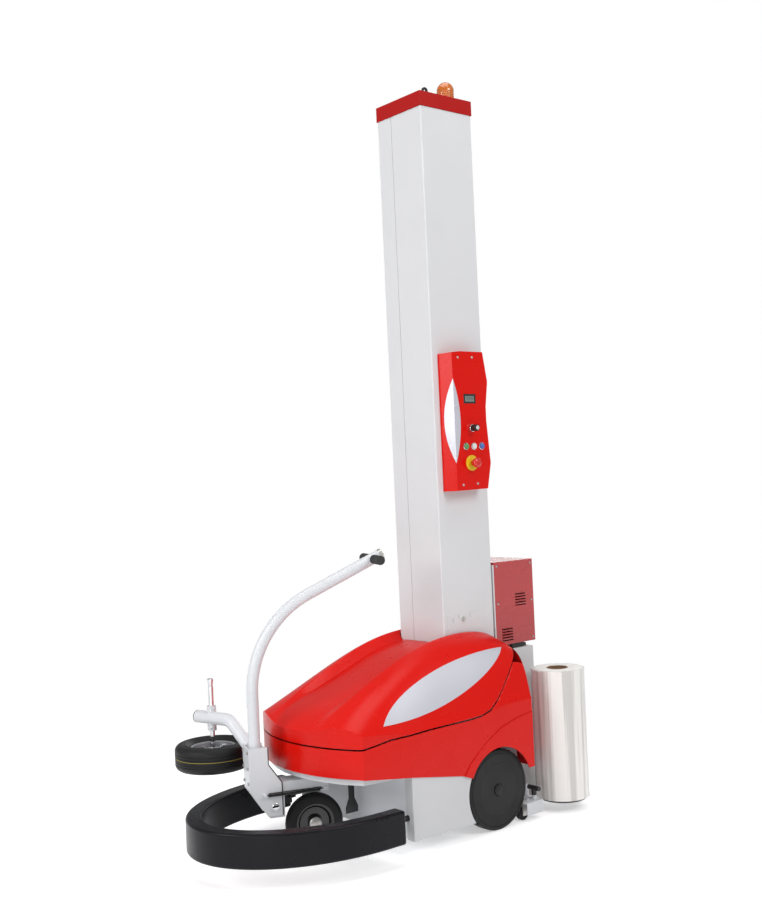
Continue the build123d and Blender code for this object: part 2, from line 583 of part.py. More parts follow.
def make_tiller():
    inner = HEAD_HALF + 0.5
    outer = inner + BRACKET_SHEET
    front = TILLER_X + TILLER_RADIUS + 12
    outline = [(170, 400), (front, 400), (front, 252), (192, 182), (176, 158), (124, 158), (124, 273), (170, 339)]
    bracket = side_prism(outline, inner, outer) + side_prism(outline, -outer, -inner)
    bracket += block(front - BRACKET_SHEET, front, -outer, outer, 252, 400)
    for z in (300, 388):
        web = block(172, front, -inner - 1, inner + 1, z, z + 6)
        web -= rod(TILLER_RADIUS + RUN, (TILLER_X, 0, z - 1), (TILLER_X, 0, z + 7))
        bracket += web
    for side in (1, -1):
        y0, y1 = side * (inner - 2), side * (outer + 2)
        bracket -= rod(PIVOT_RADIUS + RUN, (PIVOT_X, y0, PIVOT_Z), (PIVOT_X, y1, PIVOT_Z))
    # Pin for the spring's front hook.
    bracket += rod(5, (PIVOT_X + 36, outer - 1, 236), (PIVOT_X + 36, outer + 20, 236))
    add("tiller_bracket", HEAD * bracket)

    # Bent tube: upright in the bracket, then leaning back over the hood.
    lean = ((HANDLE_X - TILLER_X) / (HANDLE_Z - 822.0))
    end_x = HANDLE_X - 26
    end_z = HANDLE_Z + (end_x - HANDLE_X) / lean
    path = FilletPolyline((TILLER_X, 0, 300), (TILLER_X, 0, 822), (end_x, 0, end_z), radius=TILLER_BEND)
    start = Plane(origin=(TILLER_X, 0, 300), z_dir=(0, 0, 1))
    tube = sweep(start * Circle(TILLER_RADIUS), path=path)
    tube -= sweep(start * Circle(TILLER_RADIUS - TILLER_WALL), path=path)
    bar_half = TILLER_RADIUS + 4 + GRIP_LENGTH
    bar = rod(HANDLE_RADIUS, (HANDLE_X, -bar_half, HANDLE_Z), (HANDLE_X, bar_half, HANDLE_Z))
    tube -= rod(HANDLE_RADIUS + RUN, (HANDLE_X, -40, HANDLE_Z), (HANDLE_X, 40, HANDLE_Z))
    add("tiller_tube", HEAD * tube)

    run = Vector(end_x - TILLER_X, 0, end_z - 822).normalized()
    tip = Vector(end_x, 0, end_z)
    plug = rod(TILLER_RADIUS, tip, tip + run * 14)
    plug -= rod(7 + RUN * 4, tip + run * 4, tip + run * 15)
    add("handle_bar", HEAD * bar, HEAD * plug)
    press = rod(7, tip + run * 8, tip + run * 19)
    add("tiller_button", HEAD * press)
    places["tiller_button"] = head_point(*(tip + run * 8))
    places["button_run"] = (head_point(run.X, 0, 0)[0] - STEER_X, head_point(run.X, 0, 0)[1], run.Z)

    grips = []
    for side in (1, -1):
        y0 = side * (TILLER_RADIUS + 4)
        y1 = side * bar_half
        y2 = side * (bar_half + 4)
        grip = rod(GRIP_RADIUS, (HANDLE_X, y0, HANDLE_Z), (HANDLE_X, y2, HANDLE_Z))
        grip -= rod(HANDLE_RADIUS + RUN, (HANDLE_X, y0 - side, HANDLE_Z), (HANDLE_X, y1, HANDLE_Z))
        grips.append(HEAD * grip)
    add("handle_grips", *grips)


def make_feeler():
    outer = HEAD_HALF + 0.5 + BRACKET_SHEET
    root = Vector(TILLER_X, -outer, 376)
    bend = Vector(257, -162, ARM_Z)
    reach = Vector(SPINDLE_X - bend.X, SPINDLE_Y - bend.Y, 0)
    tip = Vector(SPINDLE_X, SPINDLE_Y, ARM_Z) + reach.normalized() * 72
    path = FilletPolyline(root, bend, tip, radius=75)
    direction = (bend - root).normalized()
    arm = sweep(Plane(origin=root, z_dir=direction) * Circle(ARM_RADIUS), path=path)
    arm += rod(ARM_RADIUS, root - direction * 26, root + direction)
    arm -= block(0, 400, -outer, 200, 200, 600)
    arm += block(172, TILLER_X + TILLER_RADIUS + 12, -outer - 5, -outer, 340, 398)
    low = ARM_Z - ARM_RADIUS - 22
    high = ARM_Z + ARM_RADIUS + 22
    arm += rod(17, (SPINDLE_X, SPINDLE_Y, low), (SPINDLE_X, SPINDLE_Y, high))
    arm -= rod(SPINDLE_RADIUS + RUN, (SPINDLE_X, SPINDLE_Y, low - 1), (SPINDLE_X, SPINDLE_Y, high + 1))
    cap_dir = reach.normalized()
    cap = rod(ARM_RADIUS, tip, tip + cap_dir * 4)
    add("feeler_arm", HEAD * arm)
    add("arm_end_cap", HEAD * cap)

    bottom = FEELER_Z - FEELER_WIDTH / 2 + 6
    spindle = rod(SPINDLE_RADIUS, (SPINDLE_X, SPINDLE_Y, bottom), (SPINDLE_X, SPINDLE_Y, SPINDLE_TOP - 26))
    spindle += Pos(SPINDLE_X, SPINDLE_Y, SPINDLE_TOP - 13) * Cone(SPINDLE_RADIUS - 1.5, SPINDLE_RADIUS + 2, 26)
    hub_low = FEELER_Z - 26
    spindle += rod(17, (SPINDLE_X, SPINDLE_Y, bottom), (SPINDLE_X, SPINDLE_Y, hub_low - APART))
    add("feeler_spindle", HEAD * spindle)
    places["feeler_axis"] = head_point(SPINDLE_X, SPINDLE_Y, FEELER_Z)
    places["spindle_top"] = head_point(SPINDLE_X, SPINDLE_Y, SPINDLE_TOP)

    half = FEELER_WIDTH / 2
    tyre = turned([(FEELER_RIM_RADIUS, -half + 12), (FEELER_RIM_RADIUS + 18, -half), (FEELER_RADIUS, -half),
                   (FEELER_RADIUS, half), (FEELER_RIM_RADIUS + 18, half), (FEELER_RIM_RADIUS, half - 12)], 22)
    rim_r = FEELER_RIM_RADIUS - RUN
    rim = turned([(rim_r - 8, -half + 14), (rim_r, -half + 14), (rim_r, half - 14), (rim_r - 8, half - 14)])
    rim += turned([(SPINDLE_RADIUS + RUN, -26), (22, -26), (22, 26), (SPINDLE_RADIUS + RUN, 26)])
    spoke = block(20, rim_r - 4, -7, 7, -14, 14)
    for step in range(8):
        rim += Rot(0, 0, step * 45) * spoke
    centre = Pos(SPINDLE_X, SPINDLE_Y, FEELER_Z)
    add("feeler_tyre", HEAD * centre * tyre)
    add("feeler_rim", HEAD * centre * rim)


# ---------------- bumper ----------------
def make_bumper():
    def bow(inset):
        length = BUMPER_NOSE - BUMPER_START
        oval = Pos(BUMPER_START, 0) * Ellipse(length - inset, BUMPER_HALF - inset)
        front = oval & Pos(BUMPER_START + 500, 0) * Rectangle(1000, 1000)
        depth = BUMPER_START - BUMPER_REAR + 1
        back = Pos(BUMPER_START - depth / 2 + 0.5, 0) * Rectangle(depth, 2 * (BUMPER_HALF - inset))
        return front + back

    low = BUMPER_TOP - BUMPER_HEIGHT
    foam = extrude(Pos(0, 0, low) * (bow(0) - bow(BUMPER_THICK)), BUMPER_HEIGHT)
    foam = foam & block(BUMPER_REAR, BUMPER_NOSE + 10, -500, 500, 0, 400)
    add("bumper_foam", foam)

    inside = BUMPER_HALF - BUMPER_THICK
    carriers = []
    for side in (1, -1):
        y0, y1 = sorted((side * (inside - 4), side * inside))
        strip = block(BUMPER_REAR, BUMPER_START, y0, y1, GUIDE_Z - 42, GUIDE_Z + 42)
        b0, b1 = sorted((side * (GUIDE_Y - 12), side * inside))
        strip += block(BUMPER_REAR + 4, BUMPER_REAR + 24, b0, b1, GUIDE_Z - 14, GUIDE_Z + 14)
        strip += rod(GUIDE_RADIUS, (TUB_FRONT - 70, side * GUIDE_Y, GUIDE_Z),
                     (BUMPER_REAR + 20, side * GUIDE_Y, GUIDE_Z))
        carriers.append(strip)
    add("bumper_carriers", *carriers)


# ---------------- film carriage ----------------
def make_carriage():
    back = -MAST_DEPTH - 6
    t = CARRIAGE_SHEET
    frame = block(back - 6, back, -110, MAST_HALF, CARRIAGE_BOTTOM, BOX_TOP - 10)
    frame += block(CARRIAGE_REAR, back, MAST_HALF - t, MAST_HALF, CARRIAGE_BOTTOM, CARRIAGE_TOP)
    frame += block(CARRIAGE_REAR, back, -110, MAST_HALF, CARRIAGE_TOP - t, CARRIAGE_TOP)
    frame += block(CARRIAGE_REAR, back, -110, MAST_HALF, CARRIAGE_BOTTOM, CARRIAGE_BOTTOM + t)
    # Roll arm: a plate beside the housing with the stub that carries the dish.
    arm_z = ROLL_BOTTOM - DISH_THICK - 1 - 6
    frame += block(CARRIAGE_REAR, ROLL_X + 56, MAST_HALF - t, MAST_HALF, arm_z, CARRIAGE_BOTTOM + 1)
    frame += block(ROLL_X - 25, ROLL_X + 56, MAST_HALF - t, ROLL_Y + 30, arm_z, arm_z + 6)
    frame += rod(10, (ROLL_X, ROLL_Y, arm_z), (ROLL_X, ROLL_Y, ROLL_BOTTOM + 80))
    # Nylon shoes that grip the lips of the mast's slot, and the belt clamp.
    lip_out = -MAST_DEPTH
    lip_in = -MAST_DEPTH + MAST_WALL
    for z in (CARRIAGE_BOTTOM + 320, BOX_TOP - 80):
        for side in (1, -1):
            neck0, neck1 = sorted((side * (MAST_SLOT / 2 - 24), side * (MAST_SLOT / 2 - SHOE_GAP)))
            frame += block(back - 1, lip_in + 14, neck0, neck1, z, z + 50)
            pad0, pad1 = sorted((side * (MAST_SLOT / 2 - 24), side * (MAST_SLOT / 2 + 30)))
            frame += block(lip_in + SHOE_GAP, lip_in + 14, pad0, pad1, z, z + 50)
            frame += block(back - 1, lip_out - SHOE_GAP, pad0, pad1, z, z + 50)
    belt_back = PULLEY_X - PULLEY_RADIUS - 0.3 - BELT_THICK
    frame += block(back - 1, belt_back - 0.4, -15, 15, CARRIAGE_TOP - 120, CARRIAGE_TOP - 70)
    for name, (x, y) in ROLLERS.items():
        frame -= rod(8 + RUN, (x, y, CARRIAGE_BOTTOM - 1), (x, y, CARRIAGE_BOTTOM + t + 1))
        frame -= rod(8 + RUN, (x, y, CARRIAGE_TOP - t - 1), (x, y, CARRIAGE_TOP + 1))
    add("carriage_frame", frame)

    for name, (x, y) in ROLLERS.items():
        low, high = CARRIAGE_BOTTOM + t + 1, CARRIAGE_TOP - t - 1
        roller = rod(ROLLER_RADIUS, (x, y, low), (x, y, high))
        roller += rod(8, (x, y, CARRIAGE_BOTTOM + 0.5), (x, y, CARRIAGE_TOP - 0.5))
        add(name, roller)
        places[name] = (x, y, low)

    w = BOX_WALL
    box = block(BOX_REAR, back - 6, -MAST_HALF, MAST_HALF, BOX_BOTTOM, BOX_TOP)
    box -= block(BOX_REAR + w, back - 6 - w, -MAST_HALF + w, MAST_HALF - w, BOX_BOTTOM + w, BOX_TOP - w)
    for x0, z0 in ((-452, 788), (-371, 654)):
        for row in range(5):
            z = z0 + 11 * row
            box -= block(x0, x0 + 60, MAST_HALF - 3, MAST_HALF + 1, z, z + 5)
    add("carriage_box", box)

    x, y = -380, MAST_HALF - 18
    lever = rod(9, (x, y, CARRIAGE_TOP + APART), (x, y, CARRIAGE_TOP + 15))
    lever += block(x - 72, x, y - 8, y + 8, CARRIAGE_TOP + 2, CARRIAGE_TOP + 15)
    add("roll_lock_lever", lever)
    places["roll_lock_lever"] = (x, y, CARRIAGE_TOP)

    stub = 10 + RUN
    core_in = CORE_RADIUS - CORE_WALL
    low = ROLL_BOTTOM - DISH_THICK
    spigot = core_in - 0.1
    lip = DISH_RADIUS - 4
    dish = turned([(stub, low), (DISH_RADIUS, low), (DISH_RADIUS, ROLL_BOTTOM + 4), (lip, ROLL_BOTTOM + 4),
                   (lip, ROLL_BOTTOM), (spigot, ROLL_BOTTOM), (spigot, ROLL_BOTTOM + 130),
                   (core_in - 12, ROLL_BOTTOM + 140), (stub + 6, ROLL_BOTTOM + 140), (stub + 6, ROLL_BOTTOM + 82),
                   (stub, ROLL_BOTTOM + 82)])
    at_roll = Pos(ROLL_X, ROLL_Y, 0)
    add("roll_dish", at_roll * dish)
    top = ROLL_BOTTOM + ROLL_HEIGHT
    film = turned([(CORE_RADIUS, ROLL_BOTTOM), (ROLL_RADIUS, ROLL_BOTTOM), (ROLL_RADIUS, top), (CORE_RADIUS, top)])
    snug = CORE_RADIUS - 0.02
    core = turned([(core_in, ROLL_BOTTOM), (snug, ROLL_BOTTOM), (snug, top + 2), (core_in, top + 2)])
    add("film_roll", at_roll * film)
    add("film_core", at_roll * core)
    places["film_roll"] = (ROLL_X, ROLL_Y, ROLL_BOTTOM)


# ---------------- control panel ----------------
def make_panel(plate_screw):
    face = MAST_HALF + PANEL_DEPTH
    mid = (PANEL_TOP + PANEL_BOTTOM) / 2

    def outline(inset):
        f, w, n = PANEL_FRONT - inset, PANEL_WIDE + inset, PANEL_WAIST + inset
        top, low = PANEL_TOP - inset, PANEL_BOTTOM + inset
        return [(f, low), (f, top - 7), (-90, top), (w + 20, top), (w, top - 115), (n, mid + 55), (n, mid),
                (w, low + 103), (w + 21, low + 4)]

    def wedge(inset):
        x0, x1 = PANEL_FRONT + 10, PANEL_RIDGE - inset
        slope = (PANEL_DEPTH - PANEL_EDGE) / (PANEL_FRONT - PANEL_RIDGE)
        ridge_y = face - inset * (1 + slope**2) ** 0.5
        y0, y1 = ridge_y - slope * (x0 - PANEL_RIDGE), ridge_y + slope * inset
        return plan_prism([(x1, y1), (x0, y0), (x0, face + 20), (x1, face + 20)],
                          PANEL_BOTTOM - 5, PANEL_TOP + 5)

    shell = side_prism(outline(0), MAST_HALF, face) - wedge(0)
    hollow = side_prism(outline(PANEL_WALL), MAST_HALF - 1, face - PANEL_WALL) - wedge(PANEL_WALL)
    shell -= hollow
    button_x = [BUTTON_MIDDLE + BUTTON_PITCH * k for k in (1, 0, -1)]
    stem = 6.0
    shaft_gap = RUN * 2
    for x in button_x:
        shell -= rod(stem + shaft_gap, (x, face - 9, BUTTON_Z), (x, face + 9, BUTTON_Z))
    for x, z, r in ((ESTOP_X, ESTOP_Z, 8.0), (SELECTOR_X, SELECTOR_Z, 6.0)):
        shell -= rod(r + shaft_gap, (x, face - 9, z), (x, face + 9, z))
    x0, z0 = -133.0 - DISPLAY_WIDTH / 2, DISPLAY_Z - DISPLAY_HEIGHT / 2
    shell -= block(x0, x0 + DISPLAY_WIDTH, face - 9, face + 9, z0, z0 + DISPLAY_HEIGHT)
    add("panel_housing", shell)
    g = 0.2
    add("display_window", block(x0 + g, x0 + DISPLAY_WIDTH - g, face - 6, face - 1,
                                z0 + g, z0 + DISPLAY_HEIGHT - g))

    # Screws of the panel, and the one that holds the foot plate.
    screws = []
    for x, z in ((-79, PANEL_TOP - 25), (-154, PANEL_TOP - 23),
                 (-80, PANEL_BOTTOM + 22), (-156, PANEL_BOTTOM + 25)):
        screws.append(rod(5, (x, face, z), (x, face + 3, z)))
    y = MAST_HALF + PLATE_THICK
    washer = rod(11, (plate_screw[0], y, plate_screw[1]), (plate_screw[0], y + 2, plate_screw[1]))
    head = rod(6.5, (plate_screw[0], y + 2, plate_screw[1]), (plate_screw[0], y + 8, plate_screw[1]))
    screws.append(washer + head)
    add("screws", *screws)

    bezels = []
    for x, name in zip(button_x, ("start_button", "pause_button", "reset_button")):
        bezel = rod(BUTTON_RADIUS + 3, (x, face, BUTTON_Z), (x, face + 5, BUTTON_Z))
        bezel -= rod(BUTTON_RADIUS + shaft_gap, (x, face + 1, BUTTON_Z), (x, face + 6, BUTTON_Z))
        bezel -= rod(stem + shaft_gap, (x, face - 1, BUTTON_Z), (x, face + 6, BUTTON_Z))
        bezels.append(bezel)
        cap = rod(BUTTON_RADIUS, (x, face + 4.5, BUTTON_Z), (x, face + BUTTON_PROUD, BUTTON_Z))
        cap += rod(stem, (x, face - 8, BUTTON_Z), (x, face + 5, BUTTON_Z))
        add(name, cap)
        places[name] = (x, face, BUTTON_Z)
    ring = rod(ESTOP_RING, (ESTOP_X, face, ESTOP_Z), (ESTOP_X, face + 6, ESTOP_Z))
    ring -= rod(8 + shaft_gap, (ESTOP_X, face - 1, ESTOP_Z), (ESTOP_X, face + 7, ESTOP_Z))
    add("estop_ring", ring)
    head = rod(ESTOP_HEAD, (ESTOP_X, face + 24, ESTOP_Z), (ESTOP_X, face + 40, ESTOP_Z))
    head += rod(8, (ESTOP_X, face - 8, ESTOP_Z), (ESTOP_X, face + 25, ESTOP_Z))
    head += rod(13, (ESTOP_X, face + 14, ESTOP_Z), (ESTOP_X, face + 25, ESTOP_Z))
    add("estop_button", head)
    places["estop_button"] = (ESTOP_X, face, ESTOP_Z)

    base = rod(16, (SELECTOR_X, face, SELECTOR_Z), (SELECTOR_X, face + 12, SELECTOR_Z))
    base -= rod(6 + shaft_gap, (SELECTOR_X, face - 1, SELECTOR_Z), (SELECTOR_X, face + 13, SELECTOR_Z))
    knob = rod(13, (SELECTOR_X, face + 12 + APART, SELECTOR_Z), (SELECTOR_X, face + 38, SELECTOR_Z))
    knob += rod(6, (SELECTOR_X, face - 8, SELECTOR_Z), (SELECTOR_X, face + 14, SELECTOR_Z))
    add("button_bezels", *bezels, base)
    add("selector_knob", knob)
    places["selector_knob"] = (SELECTOR_X, face, SELECTOR_Z)

    # The leaf is bent round the ridge: one part on the slope, one on the flat front.
    half, middle = (LEAF_HIGH - LEAF_LOW) / 2, (LEAF_HIGH + LEAF_LOW) / 2
    rows = [k / 10 for k in range(-10, 11)]
    leaf = side_prism([(PANEL_RIDGE + LEAF_FRONT * (1 - t * t), middle + half * t) for t in rows]
                      + [(PANEL_RIDGE - LEAF_BACK * (1 - t * t), middle + half * t) for t in rows[-2:0:-1]],
                      MAST_HALF, face + 20)
    edge_y = MAST_HALF + PANEL_EDGE
    back = PANEL_RIDGE - LEAF_BACK - 5
    sheet = plan_prism([(back, face), (PANEL_RIDGE, face), (PANEL_FRONT, edge_y),
                        (PANEL_FRONT, edge_y + INSERT_THICK), (PANEL_RIDGE, face + INSERT_THICK),
                        (back, face + INSERT_THICK)], PANEL_BOTTOM, PANEL_TOP)
    add("panel_leaf", leaf & sheet)


# ---------------- build and write ----------------
screw_place = make_mast()
make_lift()
make_chassis()
make_skirts()
make_covers()
make_rear_wheels()
make_caster()
make_steering_head()
make_tiller()
make_feeler()
make_bumper()
make_carriage()
make_panel(screw_place)

boxes = [shape.bounding_box() for shape in nodes.values()]
middle_x = (min(b.min.X for b in boxes) + max(b.max.X for b in boxes)) / 2
middle_y = (min(b.min.Y for b in boxes) + max(b.max.Y for b in boxes)) / 2
ground = min(b.min.Z for b in boxes)
to_origin = Pos(-middle_x, -middle_y, -ground)

os.makedirs("parts", exist_ok=True)
for name, shape in nodes.items():
    export_step(to_origin * shape, f"parts/{name}.step")
print("origin", round(middle_x, 4), round(middle_y, 4), round(ground, 4))
for name, place in places.items():
    print("place", name, *[round(v, 5) for v in place])
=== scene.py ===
import json
from math import asin, cos, pi, radians, sin, tau

import bmesh
import bpy
from mathutils import Matrix, Vector
from mathutils.geometry import interpolate_bezier

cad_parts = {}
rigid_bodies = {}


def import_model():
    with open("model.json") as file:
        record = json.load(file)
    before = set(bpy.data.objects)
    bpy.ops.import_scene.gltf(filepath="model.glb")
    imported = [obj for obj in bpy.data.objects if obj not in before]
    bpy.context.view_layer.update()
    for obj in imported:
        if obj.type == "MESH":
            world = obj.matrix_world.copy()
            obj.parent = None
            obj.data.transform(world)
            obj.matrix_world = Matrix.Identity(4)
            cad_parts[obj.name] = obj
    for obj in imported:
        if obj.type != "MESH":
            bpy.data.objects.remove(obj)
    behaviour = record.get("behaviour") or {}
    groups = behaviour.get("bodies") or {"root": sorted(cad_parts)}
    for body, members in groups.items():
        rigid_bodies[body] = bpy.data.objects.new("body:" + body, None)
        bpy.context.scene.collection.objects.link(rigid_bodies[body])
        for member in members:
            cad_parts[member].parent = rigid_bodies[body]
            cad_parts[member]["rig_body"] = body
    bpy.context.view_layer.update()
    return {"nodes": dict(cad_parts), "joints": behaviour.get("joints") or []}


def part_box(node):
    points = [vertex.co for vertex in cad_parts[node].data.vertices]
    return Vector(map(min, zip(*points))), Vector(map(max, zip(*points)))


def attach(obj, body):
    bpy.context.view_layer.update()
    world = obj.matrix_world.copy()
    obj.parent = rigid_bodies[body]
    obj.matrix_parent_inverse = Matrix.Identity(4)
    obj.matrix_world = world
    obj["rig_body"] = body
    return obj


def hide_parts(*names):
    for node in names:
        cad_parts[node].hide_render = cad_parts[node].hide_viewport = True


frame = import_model()

# ---- Studio -------------------------------------------------------------
# A white sweep of floor under soft lamps, with the camera at the height of a
# person's chest, looking at the machine from the front left.
eye = Vector((2.7435, 3.4744, 1.3303))
turn, nod, roll = 0.68618, -0.012478, -0.044979
ahead = Vector((-sin(turn) * cos(nod), -cos(turn) * cos(nod), -sin(nod)))
level = ahead.cross(Vector((0, 0, 1))).normalized()
upright = level.cross(ahead)
right = cos(roll) * level + sin(roll) * upright
above = cos(roll) * upright - sin(roll) * level
camera_data = bpy.data.cameras.new("camera")
camera_data.lens = 46.63
camera_data.shift_x = -0.001
camera_data.shift_y = 0.0133
camera = bpy.data.objects.new("camera", camera_data)
camera.matrix_world = Matrix.Translation(eye) @ Matrix((right, above, -ahead)).transposed().to_4x4()
bpy.context.scene.collection.objects.link(camera)
bpy.context.scene.camera = camera
bpy.context.scene.view_settings.view_transform = "Standard"


def wired(tree, *pairs):
    """Link each (output, input) pair of sockets."""
    for source, target in pairs:
        tree.links.new(source, target)


def node_of(tree, kind, operation=None, **values):
    """A new shader node, with its operation and the values of its named inputs."""
    node = tree.nodes.new("ShaderNode" + kind)
    if operation:
        node.operation = operation
    for name, value in values.items():
        node.inputs[name.replace("_", " ")].default_value = value
    return node


floor_lift, room_light = 0.42, 0.40
floor_mesh = bmesh.new()
bmesh.ops.create_grid(floor_mesh, x_segments=1, y_segments=1, size=30)
floor_data = bpy.data.meshes.new("studio_floor")
floor_mesh.to_mesh(floor_data)
floor_mesh.free()
floor = bpy.data.objects.new("studio_floor", floor_data)
bpy.context.scene.collection.objects.link(floor)
sweep = bpy.data.materials.new("white_sweep")
sweep.use_nodes = True
tree = sweep.node_tree
matt = tree.nodes["Principled BSDF"]
matt.inputs["Base Color"].default_value = (0.93, 0.93, 0.93, 1)
matt.inputs["Roughness"].default_value = 0.9
seen = node_of(tree, "LightPath")
direct = node_of(tree, "Math", "ADD")
clear = node_of(tree, "Math", "ADD")
clear.use_clamp = True
lift = node_of(tree, "Math", "MULTIPLY")
lift.inputs[1].default_value = floor_lift
glow = node_of(tree, "Emission")
both = node_of(tree, "AddShader")
spot = node_of(tree, "TexCoord")
away = node_of(tree, "VectorMath", "LENGTH")
far = node_of(tree, "MapRange", From_Min=1.1, From_Max=2.6)
far_seen = node_of(tree, "Math", "MULTIPLY")
paper = node_of(tree, "Emission")
fade = node_of(tree, "MixShader")
wired(tree, (seen.outputs["Is Camera Ray"], direct.inputs[0]),
      (seen.outputs["Is Glossy Ray"], direct.inputs[1]), (direct.outputs[0], clear.inputs[0]),
      (seen.outputs["Is Transmission Ray"], clear.inputs[1]), (clear.outputs[0], lift.inputs[0]),
      (lift.outputs[0], glow.inputs["Strength"]), (matt.outputs[0], both.inputs[0]),
      (glow.outputs[0], both.inputs[1]), (spot.outputs["Object"], away.inputs[0]),
      (away.outputs["Value"], far.inputs["Value"]), (far.outputs["Result"], far_seen.inputs[0]),
      (clear.outputs[0], far_seen.inputs[1]), (far_seen.outputs[0], fade.inputs["Fac"]),
      (both.outputs[0], fade.inputs[1]), (paper.outputs[0], fade.inputs[2]),
      (fade.outputs[0], tree.nodes["Material Output"].inputs["Surface"]))
floor_data.materials.append(sweep)

world = bpy.data.worlds.new("studio")
bpy.context.scene.world = world
world.use_nodes = True
tree = world.node_tree
room = tree.nodes["Background"]
room.inputs["Color"].default_value = (1, 1, 1, 1)
seen = node_of(tree, "LightPath")
direct = node_of(tree, "Math", "MAXIMUM")
direct.inputs[1].default_value = room_light
wired(tree, (seen.outputs["Is Camera Ray"], direct.inputs[0]), (direct.outputs[0], room.inputs["Strength"]))

for lamp_name, place, watts, size in (("key_lamp", (4.4, -0.2, 2.8), 106, 2.4),
                                      ("side_lamp", (-0.8, 4.4, 3.9), 98, 2.2),
                                      ("low_lamp", (2.6, 1.8, 0.5), 13, 1.0),
                                      ("top_lamp", (0.2, 0.4, 5.2), 60, 3.0),
                                      ("rear_lamp", (-4.2, -2.4, 2.8), 60, 2.4)):
    lamp_data = bpy.data.lights.new(lamp_name, "AREA")
    lamp_data.energy = watts
    lamp_data.size = size
    lamp = bpy.data.objects.new(lamp_name, lamp_data)
    aim = (Vector((0, 0, 1)) - Vector(place)).to_track_quat("-Z", "Y")
    lamp.matrix_world = Matrix.Translation(place) @ aim.to_matrix().to_4x4()
    bpy.context.scene.collection.objects.link(lamp)


# ---- Mast ---------------------------------------------------------------
# A tall open-backed column folded from 4 mm steel sheet and powder coated
# pale grey.  A joint between its two front sheets runs from deck to cap.
def coated(name, colour, gloss, grain, depth, metal=0.0, coat=0.0, shade=0.9, scuff=0.0, shine=0.5):
    """A finish with fine grain, slightly uneven colour and gloss, and light scuffs."""
    finish = bpy.data.materials.new(name)
    finish.use_nodes = True
    tree = finish.node_tree
    skin = tree.nodes["Principled BSDF"]
    skin.inputs["Metallic"].default_value = metal
    skin.inputs["Specular IOR Level"].default_value = shine
    skin.inputs["Coat Weight"].default_value = coat
    skin.inputs["Coat Roughness"].default_value = 0.06
    spot = node_of(tree, "TexCoord")
    speck = node_of(tree, "TexNoise", Scale=1 / grain, Detail=3)
    bump = node_of(tree, "Bump", Distance=depth)
    cloud = node_of(tree, "TexNoise", Scale=5, Detail=5)
    spread = node_of(tree, "MapRange", From_Min=0.35, From_Max=0.65, To_Min=gloss * 0.85, To_Max=gloss * 1.2)
    tint = node_of(tree, "Mix")
    tint.data_type = "RGBA"
    tint.inputs["A"].default_value = (*colour, 1)
    tint.inputs["B"].default_value = (*(shade * c for c in colour), 1)
    rub = node_of(tree, "TexNoise", Scale=28, Detail=8, Distortion=1.2)
    worn = node_of(tree, "MapRange", From_Min=0.62, From_Max=0.74, To_Max=scuff)
    dull = node_of(tree, "Math", "ADD")
    wired(tree, *((spot.outputs["Object"], texture.inputs["Vector"]) for texture in (speck, cloud, rub)),
          (speck.outputs["Fac"], bump.inputs["Height"]), (bump.outputs["Normal"], skin.inputs["Normal"]),
          (cloud.outputs["Fac"], spread.inputs["Value"]), (cloud.outputs["Fac"], tint.inputs["Factor"]),
          (rub.outputs["Fac"], worn.inputs["Value"]), (spread.outputs["Result"], dull.inputs[0]),
          (worn.outputs["Result"], dull.inputs[1]), (dull.outputs[0], skin.inputs["Roughness"]),
          (tint.outputs["Result"], skin.inputs["Base Color"]))
    return finish


def added(mesh, name, finish, node, ridge=35.0):
    """Turn a finished bmesh into a piece on a CAD node's body."""
    data = bpy.data.meshes.new(name)
    mesh.to_mesh(data)
    mesh.free()
    data.materials.append(finish)
    data.shade_smooth()
    data.set_sharp_from_angle(angle=radians(ridge))
    piece = bpy.data.objects.new(name, data)
    bpy.context.scene.collection.objects.link(piece)
    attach(piece, frame["nodes"][node]["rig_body"])
    return piece


def stand_in(piece, node):
    """Even out a piece's shading and hide the CAD node that it stands for."""
    even = piece.modifiers.new("even_shading", "WEIGHTED_NORMAL")
    even.keep_sharp = True
    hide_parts(node)


def shown(mesh, name, finish, node, ridge=35.0):
    """A piece, as added() makes it, that stands for the CAD node."""
    stand_in(added(mesh, name, finish, node, ridge), node)


def rounded(mesh, edges, radius, steps=3):
    """Round edges over with a bevel."""
    bmesh.ops.bevel(mesh, geom=edges, offset=radius, segments=steps, profile=0.5,
                    affect="EDGES", material=-1, clamp_overlap=True)


def prism(outline, direction):
    """Closed solid of one flat outline of points, pushed along a direction."""
    mesh = bmesh.new()
    face = mesh.faces.new([mesh.verts.new(point) for point in outline])
    pushed = bmesh.ops.extrude_face_region(mesh, geom=[face])
    bmesh.ops.translate(mesh, verts=[v for v in pushed["geom"] if isinstance(v, bmesh.types.BMVert)],
                        vec=direction)
    bmesh.ops.recalc_face_normals(mesh, faces=mesh.faces)
    return mesh


def block(mesh, place, x, y, z):
    """A box of the given size, in the middle of its place."""
    bmesh.ops.create_cube(mesh, size=1, matrix=place @ Matrix.Diagonal((x, y, z, 1)))


def rod(mesh, place, radius, length, sides):
    """A solid rod of so many sides, in the middle of its place."""
    bmesh.ops.create_cone(mesh, cap_ends=True, segments=sides, radius1=radius, radius2=radius,
                          depth=length, matrix=place)


